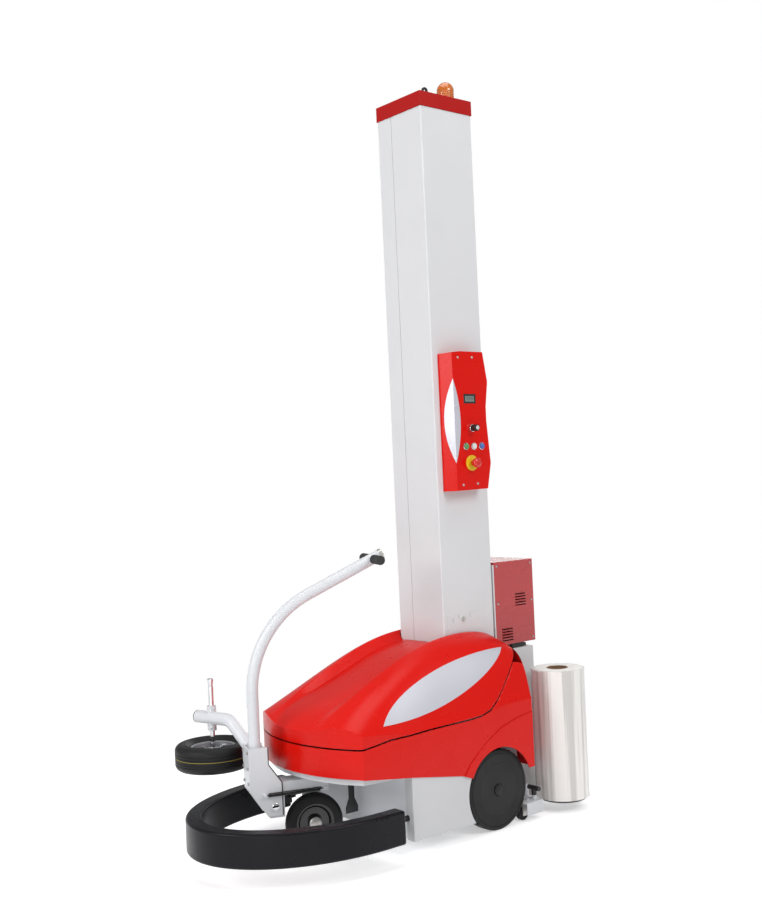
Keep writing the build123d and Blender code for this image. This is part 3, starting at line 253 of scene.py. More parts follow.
grey_paint = coated("grey_powder_coat", (0.70, 0.703, 0.72), 0.42, 0.0009, 0.00012, scuff=0.10)
low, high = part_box("mast_column")
wall = 0.004
slot_half = 0.065
seam_y = high.y - 0.176
middle_y = (low.y + high.y) / 2
plan = [(high.x, low.y), (high.x, seam_y - 0.0012), (high.x - 0.002, seam_y - 0.0012),
        (high.x - 0.002, seam_y + 0.0012), (high.x, seam_y + 0.0012), (high.x, high.y), (low.x, high.y),
        (low.x, middle_y + slot_half), (low.x + wall, middle_y + slot_half), (low.x + wall, high.y - wall),
        (high.x - wall, high.y - wall), (high.x - wall, low.y + wall), (low.x + wall, low.y + wall),
        (low.x + wall, middle_y - slot_half), (low.x, middle_y - slot_half), (low.x, low.y)]
mast = prism([(x, y, low.z) for x, y in plan], (0, 0, high.z - low.z))
corners = [e for e in mast.edges if abs(e.verts[0].co.z - e.verts[1].co.z) > 1
           and min(abs(e.verts[0].co.x - x) for x in (low.x, high.x)) < 1e-5
           and min(abs(e.verts[0].co.y - y) for y in (low.y, high.y)) < 1e-5]
rounded(mast, corners, 0.005, 4)
pulley_low, pulley_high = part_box("lift_pulley_high")
shaft_at = (pulley_low + pulley_high) / 2
rod(mast, Matrix.Translation(shaft_at) @ Matrix.Rotation(pi / 2, 4, "X"), 0.008,
    high.y - low.y - 2 * wall, 32)
shown(mast, "mast_shell", grey_paint, "mast_column")


# ---- Mast top -----------------------------------------------------------
# A pressed sheet cap in darker red closes the column.  It carries the amber
# lamp and a flat steel eye for the hoist.
def eased(node, finish, radius, corner=30.0, steps=2, ridge=35.0):
    """The CAD piece with its edges rounded over, shown in its place."""
    mesh = bmesh.new()
    mesh.from_mesh(frame["nodes"][node].data)
    bmesh.ops.remove_doubles(mesh, verts=mesh.verts, dist=2e-6)
    bmesh.ops.dissolve_limit(mesh, angle_limit=radians(0.6), verts=mesh.verts, edges=mesh.edges)
    edges = [e for e in mesh.edges if len(e.link_faces) == 2 and e.calc_face_angle(0) > radians(corner)]
    rounded(mesh, edges, radius, steps)
    shown(mesh, node + "_piece", finish, node, ridge)


def merged(mesh, part):
    """Move a part's faces into another bmesh."""
    joined = bpy.data.meshes.new("joined")
    part.to_mesh(joined)
    part.free()
    mesh.from_mesh(joined)
    bpy.data.meshes.remove(joined)


def lathe(mesh, profile, place, steps=64):
    """Spin a (radius, height) profile about its own upright axis and set it in place."""
    blank = bmesh.new()
    points = [blank.verts.new((r, 0, h)) for r, h in profile]
    line = [blank.edges.new(pair) for pair in zip(points, points[1:])]
    bmesh.ops.spin(blank, geom=points + line, cent=(0, 0, 0), axis=(0, 0, 1), angle=tau, steps=steps,
                   use_merge=True, use_duplicate=False)
    bmesh.ops.remove_doubles(blank, verts=blank.verts, dist=1e-6)
    bmesh.ops.recalc_face_normals(blank, faces=blank.faces)
    blank.transform(place)
    merged(mesh, blank)


def arc(r, h, size, angles):
    """Profile points on a circle about (r, h), by degrees up from straight outwards."""
    return [(r + size * cos(radians(a)), h + size * sin(radians(a))) for a in angles]


cap_red = coated("cap_red_enamel", (0.42, 0.004, 0.003), 0.36, 0.0012, 0.00010, shine=0.25)
eased("mast_cap", cap_red, 0.002)
dark_steel = coated("blackened_steel", (0.035, 0.035, 0.038), 0.42, 0.0008, 0.00008, metal=0.6, scuff=0.2)
eased("lifting_eye", dark_steel, 0.0015)

amber_lens = coated("amber_lens", (0.80, 0.20, 0.008), 0.16, 0.004, 0.0001, coat=0.8, shade=0.8)
lens_skin = amber_lens.node_tree.nodes["Principled BSDF"]
lens_skin.inputs["Transmission Weight"].default_value = 0.25
lens_skin.inputs["IOR"].default_value = 1.49
low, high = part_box("beacon_lens")
lens_radius = (high.x - low.x) / 2
lens_straight = high.z - low.z - lens_radius
profile = [(lens_radius - 0.004, 0), (lens_radius, 0.001), (lens_radius, 0.006),
           (lens_radius - 0.0012, 0.008)]
for row in range(4):
    rise = 0.010 + 0.0085 * row
    profile += [(lens_radius - 0.0012, rise), (lens_radius, rise + 0.003),
                (lens_radius - 0.0012, rise + 0.006)]
profile += [((lens_radius - 0.0006) * cos(radians(a)), lens_straight + lens_radius * sin(radians(a)))
            for a in range(0, 90, 10)] + [(0, lens_straight + lens_radius)]
profile += arc(0, lens_straight, lens_radius - 0.0035, range(80, -1, -20)) + [(lens_radius - 0.004, 0)]
lens = bmesh.new()
lathe(lens, profile, Matrix.Translation(((low.x + high.x) / 2, (low.y + high.y) / 2, low.z)), 56)
shown(lens, "beacon_dome", amber_lens, "beacon_lens")


# ---- Foot plate ---------------------------------------------------------
# A thin steel plate screwed flat on the mast's left face just above the hood,
# with a hoisting hole and two open slots, held by one screw and washer.
eased("mast_foot_plate", grey_paint, 0.0006)
zinc = coated("zinc_plated_steel", (0.58, 0.57, 0.54), 0.34, 0.0006, 0.00006, metal=0.9, shade=0.8)


def facing(point, out, spin=0.0):
    """Matrix that stands a piece at a point with its height along the out direction."""
    return (Matrix.Translation(point) @ Vector(out).to_track_quat("Z", "Y").to_matrix().to_4x4()
            @ Matrix.Rotation(spin, 4, "Z"))


def hex_screw(mesh, place, size):
    """Washer and six-sided head with a chamfered top."""
    lathe(mesh, [(0, 0), (size * 1.25, 0), (size * 1.25, size * 0.16), (size * 1.1, size * 0.22),
                 (0, size * 0.22)], place, 28)
    head = bmesh.new()
    rod(head, Matrix.Translation((0, 0, size * 0.595)), size * 0.92, size * 0.75, 6)
    rounded(head, [e for e in head.edges if e.verts[0].co.z > size * 0.9 and e.verts[1].co.z > size * 0.9],
            size * 0.12, 2)
    head.transform(place)
    merged(mesh, head)


def socket_screw(mesh, place, size):
    """Low domed head with a round key recess."""
    rise = size * 0.55
    lathe(mesh, [(0, 0), (size, 0), (size, rise * 0.3), (size * 0.86, rise * 0.8), (size * 0.6, rise),
                 (size * 0.48, rise), (size * 0.44, rise * 0.35), (0, rise * 0.35)], place, 24)


screws = bmesh.new()
panel_low, panel_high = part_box("panel_housing")
plate_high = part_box("mast_foot_plate")[1]
panel_face = panel_high.y


def on_panel(node):
    """The place on the panel's flat behind a CAD node's middle, with its height straight out."""
    low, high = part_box(node)
    return facing(((low.x + high.x) / 2, panel_face, (low.z + high.z) / 2), (0, 1, 0))


for x, z in ((-0.310, panel_high.z - 0.024), (-0.385, panel_high.z - 0.022),
             (-0.311, panel_low.z + 0.022), (-0.387, panel_low.z + 0.025)):
    socket_screw(screws, facing((x, panel_face, z), (0, 1, 0)), 0.005)
plate_screw = Vector((plate_high.x - 0.080, plate_high.y, plate_high.z - 0.023))
hex_screw(screws, facing(plate_screw, (0, 1, 0), 0.3), 0.008)
shown(screws, "panel_and_plate_screws", zinc, "screws")


# ---- Hood ---------------------------------------------------------------
# A vacuum-formed gloss red shell lifts off round the mast: a sunken deck
# between two raised wings, over a fixed lower cover of the same plastic.
gloss_red = coated("gloss_red_shell", (0.68, 0.004, 0.0002), 0.27, 0.010, 0.00022, shade=0.93, scuff=0.05,
                   shine=0.22)
mast_low, mast_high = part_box("mast_column")
mast_face = Matrix.Translation((mast_high.x, (mast_low.y + mast_high.y) / 2, 0))
cover_low, cover_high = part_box("lower_cover")
nose_x = cover_high.x - mast_high.x
rear_x = cover_low.x - mast_high.x
side_y = (cover_high.y - cover_low.y) / 2
lip_top, lip_low = 0.436, 0.305
crown_line = ((0.700, 0.395), (0.650, 0.441), (0.600, 0.484), (0.540, 0.521), (0.472, 0.556),
              (0.400, 0.591), (0.318, 0.629), (0.230, 0.665), (0.142, 0.693), (0.060, 0.710),
              (-0.020, 0.718), (-0.100, 0.720), (-0.180, 0.711), (-0.235, 0.690), (-0.275, 0.655))


def wing_section(x, crown):
    """Half of the hood's section at one station, from the middle of the deck out to the side."""
    back = min(max((0.10 - x) / 0.352, 0), 1)
    sunk = 0.033 * min(max((0.560 - x) / 0.24, 0), 1) ** 0.7
    fall = crown - lip_top
    return [(0.0, crown - sunk + 0.003), (0.070, crown - sunk + 0.002), (0.110, crown - sunk),
            (0.114, crown - sunk), (0.143, crown), (0.150, crown + 0.0005), (0.190, crown - 0.06 * fall),
            (0.236 + 0.022 * back, crown - (0.22 - 0.10 * back) * fall),
            (0.287 + 0.017 * back, crown - (0.62 - 0.23 * back) * fall),
            (0.322 + 0.006 * back, lip_top + 0.002), (0.375, lip_top - 0.07), (0.375, 0.10), (0.0, 0.10)]


def applied(thing):
    """The mesh of an object with its modifiers applied."""
    bpy.context.view_layer.update()
    solved = thing.evaluated_get(bpy.context.evaluated_depsgraph_get())
    return bpy.data.meshes.new_from_object(solved)


def modelled(mesh, levels=0):
    """A bmesh as a temporary object, with its subdivision applied."""
    data = bpy.data.meshes.new("blank")
    mesh.to_mesh(data)
    mesh.free()
    blank = bpy.data.objects.new("blank", data)
    bpy.context.scene.collection.objects.link(blank)
    if levels:
        smooth = blank.modifiers.new("smooth", "SUBSURF")
        smooth.levels = smooth.render_levels = levels
        blank.data = applied(blank)
        blank.modifiers.clear()
    return blank


def carved(blank, *cuts):
    """Carve a temporary object with others: each cut is (operation, tool object)."""
    result = bpy.data.objects.new("carved", blank.data.copy())
    bpy.context.scene.collection.objects.link(result)
    for operation, tool in cuts:
        carve = result.modifiers.new("carve", "BOOLEAN")
        carve.operation = operation
        carve.solver = "EXACT"
        carve.object = tool
    done = applied(result)
    bpy.data.objects.remove(result)
    mesh = bmesh.new()
    mesh.from_mesh(done)
    bpy.data.meshes.remove(done)
    bmesh.ops.remove_doubles(mesh, verts=mesh.verts, dist=1e-5)
    bmesh.ops.dissolve_degenerate(mesh, edges=mesh.edges, dist=1e-5)
    return mesh


def side_solid(outline, inner=-0.42, outer=0.42):
    """Outline seen from the side, as a solid from one y to another."""
    return modelled(prism([(x, inner, z) for x, z in outline], (0, outer - inner, 0)))


def top_form(rise):
    """The crowned and winged form that the hood's skin follows, raised by rise."""
    cage = bmesh.new()
    hard = cage.edges.layers.float.new("crease_edge")
    place_of, rings = {}, []
    for station, (x, crown) in enumerate(crown_line):
        half = wing_section(x, crown)
        ring = [(y, z) for y, z in half] + [(-y, z) for y, z in reversed(half[1:-1])]
        verts = [cage.verts.new((x, y, z + rise)) for y, z in ring]
        edges = [cage.edges.new((verts[i], verts[(i + 1) % len(verts)])) for i in range(len(verts))]
        for i, v in enumerate(verts):
            place_of[v] = (station, min(i, len(ring) - i), x)
        rings.append(edges)
    for one, other in zip(rings, rings[1:]):
        bmesh.ops.bridge_loops(cage, edges=one + other)
    for end in (rings[0], rings[-1]):
        bmesh.ops.contextual_create(cage, geom=end)
        for edge in end:
            edge[hard] = 1
    for edge in cage.edges:
        (one, row, x), (other, next_row, _) = (place_of[v] for v in edge.verts)
        if one != other and row == next_row:
            fade = min(max((0.55 - x) / 0.2, 0), 1)
            edge[hard] = {2: 0.75 * fade, 3: 0.75 * fade, 4: 0.60 * fade, 10: 1, 11: 1}.get(row, 0)
    bmesh.ops.recalc_face_normals(cage, faces=cage.faces)
    return modelled(cage, 3)


def plan_form(inset, low_z, high_z):
    """The covers' plan: bowed nose, crisp corners and straight sides."""
    corner_x, corner_y, nose = 0.550 - inset / 2, 0.305 - inset, nose_x - inset
    bow = ((corner_y ** 2) + (nose - corner_x) ** 2) / (2 * (nose - corner_x))
    sweep_angle = asin(corner_y / bow)
    front = [(nose - bow + bow * cos(t), bow * sin(t)) for t in
             (sweep_angle * (1 - i / 16) for i in range(33))]
    outline = front + [(0.356, inset - side_y), (rear_x + inset, inset - side_y),
                       (rear_x + inset, side_y - inset), (0.356, side_y - inset)]
    return modelled(prism([(x, y, low_z) for x, y in outline], (0, 0, high_z - low_z)))


def shell_piece(mesh, node, keep, edge):
    """Keep the outer skin, ease its sharp edges and give it its wall."""
    mesh.normal_update()
    bmesh.ops.delete(mesh, geom=[f for f in mesh.faces if not keep(f.normal, f.calc_center_median())],
                     context="FACES")
    bmesh.ops.dissolve_limit(mesh, angle_limit=radians(0.05), verts=mesh.verts, edges=mesh.edges)
    sharp = [e for e in mesh.edges if len(e.link_faces) == 2 and e.calc_face_angle(0) > radians(24)]
    rounded(mesh, sharp, edge, 3)
    mesh.transform(mast_face)
    piece = added(mesh, node + "_shell", gloss_red, node, ridge=28)
    thick = piece.modifiers.new("wall", "SOLIDIFY")
    thick.thickness = 0.0035
    thick.offset = -1
    stand_in(piece, node)


groove = 0.0030
parting = [(0.760, 0.405), (0.560, 0.405), (0.500, 0.413), (0.440, 0.423), (0.260, 0.431), (0.060, 0.434),
           (0.010, 0.438), (-0.040, 0.452), (-0.080, 0.478), (-0.116, 0.512), (-0.200, 0.603),
           (-0.300, 0.712)]
form = top_form(0)
plan_solid = plan_form(0, 0.15, 0.90)
below = side_solid([(x, z + groove) for x, z in parting] + [(-0.300, 0.0), (0.760, 0.0)])
above_parting = side_solid([(x, z - groove) for x, z in parting] + [(-0.300, 0.95), (0.760, 0.95)])
gap = (mast_high.y - mast_low.y) / 2 + 0.003
mast_gap = modelled(prism([(-0.4, -gap, 0.1), (0.003, -gap, 0.1), (0.003, gap, 0.1), (-0.4, gap, 0.1)],
                          (0, 0, 0.9)))
hood_mesh = carved(form, ("INTERSECT", plan_solid), ("DIFFERENCE", mast_gap), ("DIFFERENCE", below))
shell_piece(hood_mesh, "hood", lambda n, c: not (n.z < -0.5 or (abs(n.z) < 0.2 and abs(c.y) < gap + 0.001
                                                                and c.x < 0.004 and c.x > rear_x + 0.001)),
            0.0030)

# The lower cover flares out round each wheel arch behind a curved crease.
wheel_low, wheel_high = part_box("rear_tyre_left")
wheel_x = (wheel_low.x + wheel_high.x) / 2 - mast_high.x
wheel_radius = (wheel_high.z - wheel_low.z) / 2
arch_mesh = bmesh.new()
rod(arch_mesh, Matrix.Translation((wheel_x, 0, wheel_radius)) @ Matrix.Rotation(pi / 2, 4, "X"),
    wheel_radius + 0.011, 1.0, 96)
arch = modelled(arch_mesh)
crease = [(0.114, 0.200), (0.111, 0.236), (0.080, 0.275), (0.038, 0.308), (-0.020, 0.347), (-0.085, 0.380),
          (-0.165, 0.402), (rear_x, 0.414), (rear_x, 0.200)]
flares = []
for out in (1, -1):
    flare = prism([(x, out * (side_y - 0.010), z) for x, z in crease], (0, out * 0.0135, 0))
    rounded(flare, [e for e in flare.edges if all(abs(v.co.y) > side_y for v in e.verts)], 0.0030, 3)
    flares.append(("UNION", modelled(flare)))
belly = side_solid([(0.760, lip_low), (0.560, lip_low), (0.350, 0.279), (0.120, 0.239), (0.060, 0.217),
                    (wheel_x, 0.217), (wheel_x, 0.206), (-0.300, 0.206), (-0.300, 0.0), (0.760, 0.0)])
lower_mesh = carved(form, ("INTERSECT", plan_solid), *flares, ("DIFFERENCE", above_parting),
                    ("DIFFERENCE", belly), ("DIFFERENCE", arch))
shell_piece(lower_mesh, "lower_cover", lambda n, c: (abs(n.y) > 0.12 and abs(c.y) > 0.29 and abs(n.z) < 0.97)
            or (n.x > 0.3 and c.x > 0.5) or (n.x < -0.9 and c.x < rear_x + 0.002), 0.0025)


# ---- Leaf inserts -------------------------------------------------------
# A thin leaf-shaped plate in silver paint is let into each wing's outer
# slope, standing about a millimetre proud with a pale rounded edge.
leaf_silver = coated("leaf_silver_paint", (0.60, 0.60, 0.66), 0.30, 0.0006, 0.00005, metal=0.2)
upper_edge = interpolate_bezier((0.452, 0.470, 0), (0.330, 0.592, 0), (0.020, 0.667, 0),
                                (-0.178, 0.660, 0), 32)
lower_edge = interpolate_bezier((-0.178, 0.660, 0), (-0.060, 0.560, 0), (0.150, 0.468, 0),
                                (0.452, 0.470, 0), 32)
leaf_outline = [(p[0], p[1]) for p in upper_edge[:-1] + lower_edge[:-1]]
raised = top_form(0.0018)
sunk = top_form(-0.0015)
leaves = bmesh.new()
for out in (1, -1):
    near, far = sorted((out * 0.160, out * 0.330))
    leaf = carved(raised, ("INTERSECT", side_solid(leaf_outline, near, far)), ("DIFFERENCE", sunk))
    leaf.normal_update()
    rim = [e for e in leaf.edges if len(e.link_faces) == 2 and e.calc_face_angle(0) > radians(40)
           and sum(f.normal.z > 0.2 for f in e.link_faces) == 1]
    rounded(leaf, rim, 0.0008, 2)
    leaf.transform(mast_face)
    merged(leaves, leaf)
shown(leaves, "leaf_inserts", leaf_silver, "hood_leaf_inserts")
for temporary in [o for o in bpy.data.objects if o.name.startswith("blank")]:
    bpy.data.objects.remove(temporary)


# ---- Control panel ------------------------------------------------------
# A moulded red box with a sloped front side is screwed on the mast's left face.
# A silver leaf is bent round its ridge, and window and switches are on the flat.
eased("panel_housing", gloss_red, 0.003, corner=12, steps=3, ridge=30)
eased("panel_leaf", leaf_silver, 0.0006, corner=50)
window_black = coated("display_surround", (0.02, 0.022, 0.024), 0.12, 0.002, 0.00002, coat=0.6)
eased("display_window", window_black, 0.0008)
glass_grey = coated("display_glass", (0.20, 0.24, 0.22), 0.10, 0.004, 0.00002, coat=1.0, shade=0.8)
low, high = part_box("display_window")
screen = bmesh.new()
screen_at = Vector(((low.x + high.x) / 2, high.y - 0.0006, (low.z + high.z) / 2))
block(screen, Matrix.Translation(screen_at), 0.046, 0.0022, 0.021)
rounded(screen, screen.edges[:], 0.0008, 2)
added(screen, "display_screen", glass_grey, "display_window")
digit_dark = coated("display_digits", (0.03, 0.04, 0.035), 0.4, 0.002, 0.00002)
digits = bmesh.new()
screen_mid = Vector(((low.x + high.x) / 2, high.y + 0.0006, (low.z + high.z) / 2))
for column in (-1, 0, 1):
    for x, z, wide, tall in ((0, 0.0065, 0.006, 0.0009), (0, 0, 0.006, 0.0009), (0, -0.0065, 0.006, 0.0009),
                             (-0.0034, 0.0033, 0.0009, 0.0055), (0.0034, 0.0033, 0.0009, 0.0055),
                             (-0.0034, -0.0033, 0.0009, 0.0055), (0.0034, -0.0033, 0.0009, 0.0055)):
        at = screen_mid + Vector((column * 0.012 + x, 0, z))
        block(digits, Matrix.Translation(at), wide, 0.0006, tall)
added(digits, "display_digits", digit_dark, "display_window")

satin_black = coated("satin_black_plastic", (0.012, 0.012, 0.013), 0.40, 0.0007, 0.00008, scuff=0.12)
chrome = coated("bright_chrome", (0.74, 0.74, 0.76), 0.10, 0.0005, 0.00001, metal=1.0, shade=0.92)
bezels = bmesh.new()
for button in ("start_button", "pause_button", "reset_button"):
    lathe(bezels, [(0.0112, 0), (0.0145, 0), (0.0145, 0.002), (0.0138, 0.0045), (0.0126, 0.0054),
                   (0.0114, 0.0050), (0.0112, 0)], on_panel(button), 40)
selector = on_panel("selector_knob")
lathe(bezels, [(0.0065, 0), (0.016, 0), (0.016, 0.009), (0.0148, 0.0115), (0.0065, 0.012), (0.0065, 0)],
      selector, 40)
shown(bezels, "button_bezels_piece", chrome, "button_bezels")

button_colours = (("start_button", (0.10, 0.30, 0.10)), ("pause_button", (0.75, 0.75, 0.72)),
                  ("reset_button", (0.06, 0.16, 0.50)))
for button, colour in button_colours:
    cap = bmesh.new()
    lathe(cap, [(0, -0.008), (0.006, -0.008), (0.006, 0.0045), (0.0109, 0.0045), (0.0109, 0.0078),
                (0.0102, 0.0090), (0.0088, 0.0088), (0.004, 0.0080), (0, 0.0078)], on_panel(button), 40)
    shown(cap, button + "_cap", coated(button + "_plastic", colour, 0.22, 0.003, 0.00003, coat=0.4), button)

knob = bmesh.new()
lathe(knob, [(0, -0.008), (0.006, -0.008), (0.006, 0.0125), (0.013, 0.0125), (0.013, 0.033),
             (0.0118, 0.0358), (0.0095, 0.0366), (0, 0.0366)], selector, 40)
shown(knob, "selector_knob_piece", satin_black, "selector_knob")
pointer = bmesh.new()
lathe(pointer, [(0, 0.0360), (0.0080, 0.0360), (0.0080, 0.0374), (0.0070, 0.0379), (0, 0.0380)],
      selector, 32)
pale_plastic = coated("pale_insert_plastic", (0.62, 0.62, 0.60), 0.3, 0.002, 0.00003)
added(pointer, "selector_end_disc", pale_plastic, "selector_knob")

stop_yellow = coated("stop_ring_yellow", (0.80, 0.55, 0.01), 0.30, 0.002, 0.00003)
stop = on_panel("estop_ring")
ring = bmesh.new()
lathe(ring, [(0.0085, 0), (0.030, 0), (0.030, 0.0035), (0.0285, 0.0055), (0.020, 0.006), (0.0085, 0.006),
             (0.0085, 0)], stop, 56)
shown(ring, "stop_ring_piece", stop_yellow, "estop_ring")
stop_red = coated("stop_button_red", (0.62, 0.012, 0.010), 0.26, 0.002, 0.00003, coat=0.4)
mushroom = bmesh.new()
lathe(mushroom, [(0, -0.008), (0.008, -0.008), (0.008, 0.014), (0.013, 0.014), (0.0135, 0.022),
                 (0.0175, 0.0245), (0.019, 0.0275), (0.0188, 0.0320), (0.0172, 0.0362), (0.0135, 0.0388),
                 (0.0085, 0.0398), (0.006, 0.0390), (0, 0.0388)], stop, 56)
shown(mushroom, "stop_mushroom", stop_red, "estop_button")


# ---- Carriage -----------------------------------------------------------
# A folded grey frame runs on the mast's slot.  Above it a sheet box in
# hammered crimson paint, with pressed louvres, holds the stretch gear's motor.
def hammered(name, colour):
    """Hammer-finish enamel: small round dimples under a gloss coat."""
    finish = coated(name, colour, 0.24, 0.0008, 0.00008, coat=0.5, shade=0.75)
    tree = finish.node_tree
    cells = node_of(tree, "TexVoronoi", Scale=190)
    dimple = node_of(tree, "Bump", Distance=0.0011)
    wired(tree, (tree.nodes["Texture Coordinate"].outputs["Object"], cells.inputs["Vector"]),
          (cells.outputs["Distance"], dimple.inputs["Height"]),
          (tree.nodes["Bump"].outputs["Normal"], dimple.inputs["Normal"]),
          (dimple.outputs["Normal"], tree.nodes["Principled BSDF"].inputs["Normal"]))
    return finish


crimson = hammered("hammered_crimson", (0.52, 0.035, 0.040))
eased("carriage_box", crimson, 0.0020)
low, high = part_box("carriage_box")
lips = bmesh.new()
for front_x, base_z in ((low.x + 0.046, 0.788), (low.x + 0.127, 0.654)):
    for row in range(5):
        at = (front_x + 0.030, high.y + 0.0003, base_z + 0.011 * row + 0.0062)
        block(lips, Matrix.Translation(at) @ Matrix.Rotation(radians(-35), 4, "X"), 0.060, 0.0008, 0.0045)
added(lips, "box_louvre_lips", crimson, "carriage_box")
box_screws = bmesh.new()
for x in (low.x + 0.014, high.x - 0.016):
    for z in (low.z + 0.016, (low.z + high.z) / 2, high.z - 0.016):
        socket_screw(box_screws, facing((x, high.y, z), (0, 1, 0)), 0.0045)
added(box_screws, "box_screws", zinc, "carriage_box")
eased("carriage_frame", grey_paint, 0.0012)
eased("roll_lock_lever", satin_black, 0.003)


# ---- Stretch rollers ----------------------------------------------------
# Two ground rubber rollers on steel journals stretch the film.  The rubber
# has fine grooves turned in it and polished ends.
ground_rubber = coated("ground_roller_rubber", (0.10, 0.10, 0.105), 0.55, 0.0006, 0.00012, shade=0.8)
for node in ("slow_stretch_roller", "fast_stretch_roller"):
    low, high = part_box(node)
    axis = Matrix.Translation(((low.x + high.x) / 2, (low.y + high.y) / 2, low.z))
    tall = high.z - low.z
    outer = (high.x - low.x) / 2
    profile = [(0, 0), (0.0078, 0), (0.0078, 0.0046), (outer - 0.003, 0.0046), (outer, 0.0076)]
    for groove in range(18):
        z = 0.030 + groove * (tall - 0.060) / 17
        profile += [(outer, z - 0.0022), (outer - 0.0010, z - 0.0012), (outer - 0.0010, z + 0.0012),
                    (outer, z + 0.0022)]
    profile += [(outer, tall - 0.0076), (outer - 0.003, tall - 0.0046), (0.0078, tall - 0.0046),
                (0.0078, tall), (0, tall)]
    roller = bmesh.new()
    lathe(roller, profile, axis, 48)
    shown(roller, node + "_piece", ground_rubber, node)


# ---- Film roll ----------------------------------------------------------
# Half a metre of clear stretch film wound on a board core, standing on a black
# dish just narrower than the roll.  The layers give rings, ripples and uneven ends,
# and the lighter and darker vertical streaks in the film's colour are painted sheen.
film_low, film_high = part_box("film_roll")
roll_axis = Vector(((film_low.x + film_high.x) / 2, (film_low.y + film_high.y) / 2, film_low.z))
film_tall = film_high.z - film_low.z
film_outer = (film_high.x - film_low.x) / 2
core_outer = 0.041
film = bmesh.new()
profile = [(core_outer, 0), (film_outer - 0.0015, 0), (film_outer, 0.0015)]
for band in range(1, 14):
    profile.append((film_outer - (0.0004 if band % 2 else 0.0), film_tall * band / 14
                    + 0.006 * sin(band * 2.3)))
profile += [(film_outer, film_tall - 0.0020), (film_outer - 0.0010, film_tall - 0.0006)]
for layer in range(12):
    r = film_outer - 0.004 - layer * (film_outer - core_outer - 0.005) / 12
    profile += [(r, film_tall - 0.0003 - 0.0010 * (layer % 2)),
                (r - 0.0016, film_tall - 0.0012 * ((layer + 1) % 2))]
profile += [(core_outer, film_tall - 0.0008), (core_outer, 0)]
lathe(film, profile, Matrix.Translation(roll_axis), 96)
# Its darker tint, shade 0.70, is laid down in vertical streaks below as painted sheen.
wound = coated("wound_stretch_film", (0.84, 0.82, 0.79), 0.18, 0.03, 0.0006, coat=0.9, shade=0.70)
tree = wound.node_tree
wound_skin = tree.nodes["Principled BSDF"]
wound_skin.inputs["Subsurface Weight"].default_value = 0.25
wound_skin.inputs["Subsurface Radius"].default_value = (0.02, 0.02, 0.018)
centre = node_of(tree, "Mapping", Location=(-roll_axis.x, -roll_axis.y, 0))
rings = node_of(tree, "TexWave", Scale=260, Distortion=1.5)
rings.wave_type = "RINGS"
rings.rings_direction = "Z"
layers = node_of(tree, "Bump", Distance=0.0002)
# A stretched noise ripples the bump and also paints vertical streaks of sheen into the colour.
streak_map = node_of(tree, "Mapping", Scale=(1, 1, 0.02))
streak = node_of(tree, "TexNoise", Scale=34, Detail=2)
painted_sheen_streaks = node_of(tree, "MapRange", From_Min=0.50, From_Max=0.60)
ripple = node_of(tree, "Bump", Distance=0.0024)
wired(tree, (tree.nodes["Texture Coordinate"].outputs["Object"], centre.inputs["Vector"]),
      (centre.outputs["Vector"], rings.inputs["Vector"]), (rings.outputs["Fac"], layers.inputs["Height"]),
      (tree.nodes["Bump"].outputs["Normal"], layers.inputs["Normal"]),
      (centre.outputs["Vector"], streak_map.inputs["Vector"]),
      (streak_map.outputs["Vector"], streak.inputs["Vector"]),
      (streak.outputs["Fac"], ripple.inputs["Height"]),
      (streak.outputs["Fac"], painted_sheen_streaks.inputs["Value"]),
      (painted_sheen_streaks.outputs["Result"], tree.nodes["Mix"].inputs["Factor"]),
      (layers.outputs["Normal"], ripple.inputs["Normal"]),
      (ripple.outputs["Normal"], wound_skin.inputs["Normal"]))
shown(film, "wound_film", wound, "film_roll")
end_from, end_to = core_outer + 0.0010, film_outer - 0.0030
roll_end = bmesh.new()
lathe(roll_end, [(end_from, film_tall - 0.0004), (end_to, film_tall - 0.0004), (end_to, film_tall + 0.0003),
                 (end_from, film_tall + 0.0003), (end_from, film_tall - 0.0004)],
      Matrix.Translation(roll_axis), 96)
end_grey = coated("wound_film_end", (0.56, 0.54, 0.50), 0.35, 0.0012, 0.0003, shade=0.85)
added(roll_end, "wound_film_end", end_grey, "film_roll")

board = coated("kraft_core_board", (0.30, 0.19, 0.11), 0.75, 0.002, 0.0002, shade=0.75)
low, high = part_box("film_core")
core_tall = high.z - low.z
core = bmesh.new()
lathe(core, [(core_outer - 0.003, 0), (core_outer - 0.0001, 0), (core_outer - 0.0001, core_tall - 0.0006),
             (core_outer - 0.0008, core_tall), (core_outer - 0.0024, core_tall),
             (core_outer - 0.003, core_tall - 0.0006), (core_outer - 0.003, 0)],
      Matrix.Translation((roll_axis.x, roll_axis.y, low.z)), 72)
shown(core, "kraft_core", board, "film_core")
dish_low, dish_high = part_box("roll_dish")
dish_tall = dish_high.z - dish_low.z
dish = bmesh.new()
lathe(dish, [(0, 0), (0.092, 0), (0.094, 0.002), (0.094, dish_tall - 0.001), (0.093, dish_tall),
             (0, dish_tall)], Matrix.Translation((roll_axis.x, roll_axis.y, dish_low.z)), 72)
shown(dish, "roll_dish_plate", satin_black, "roll_dish")


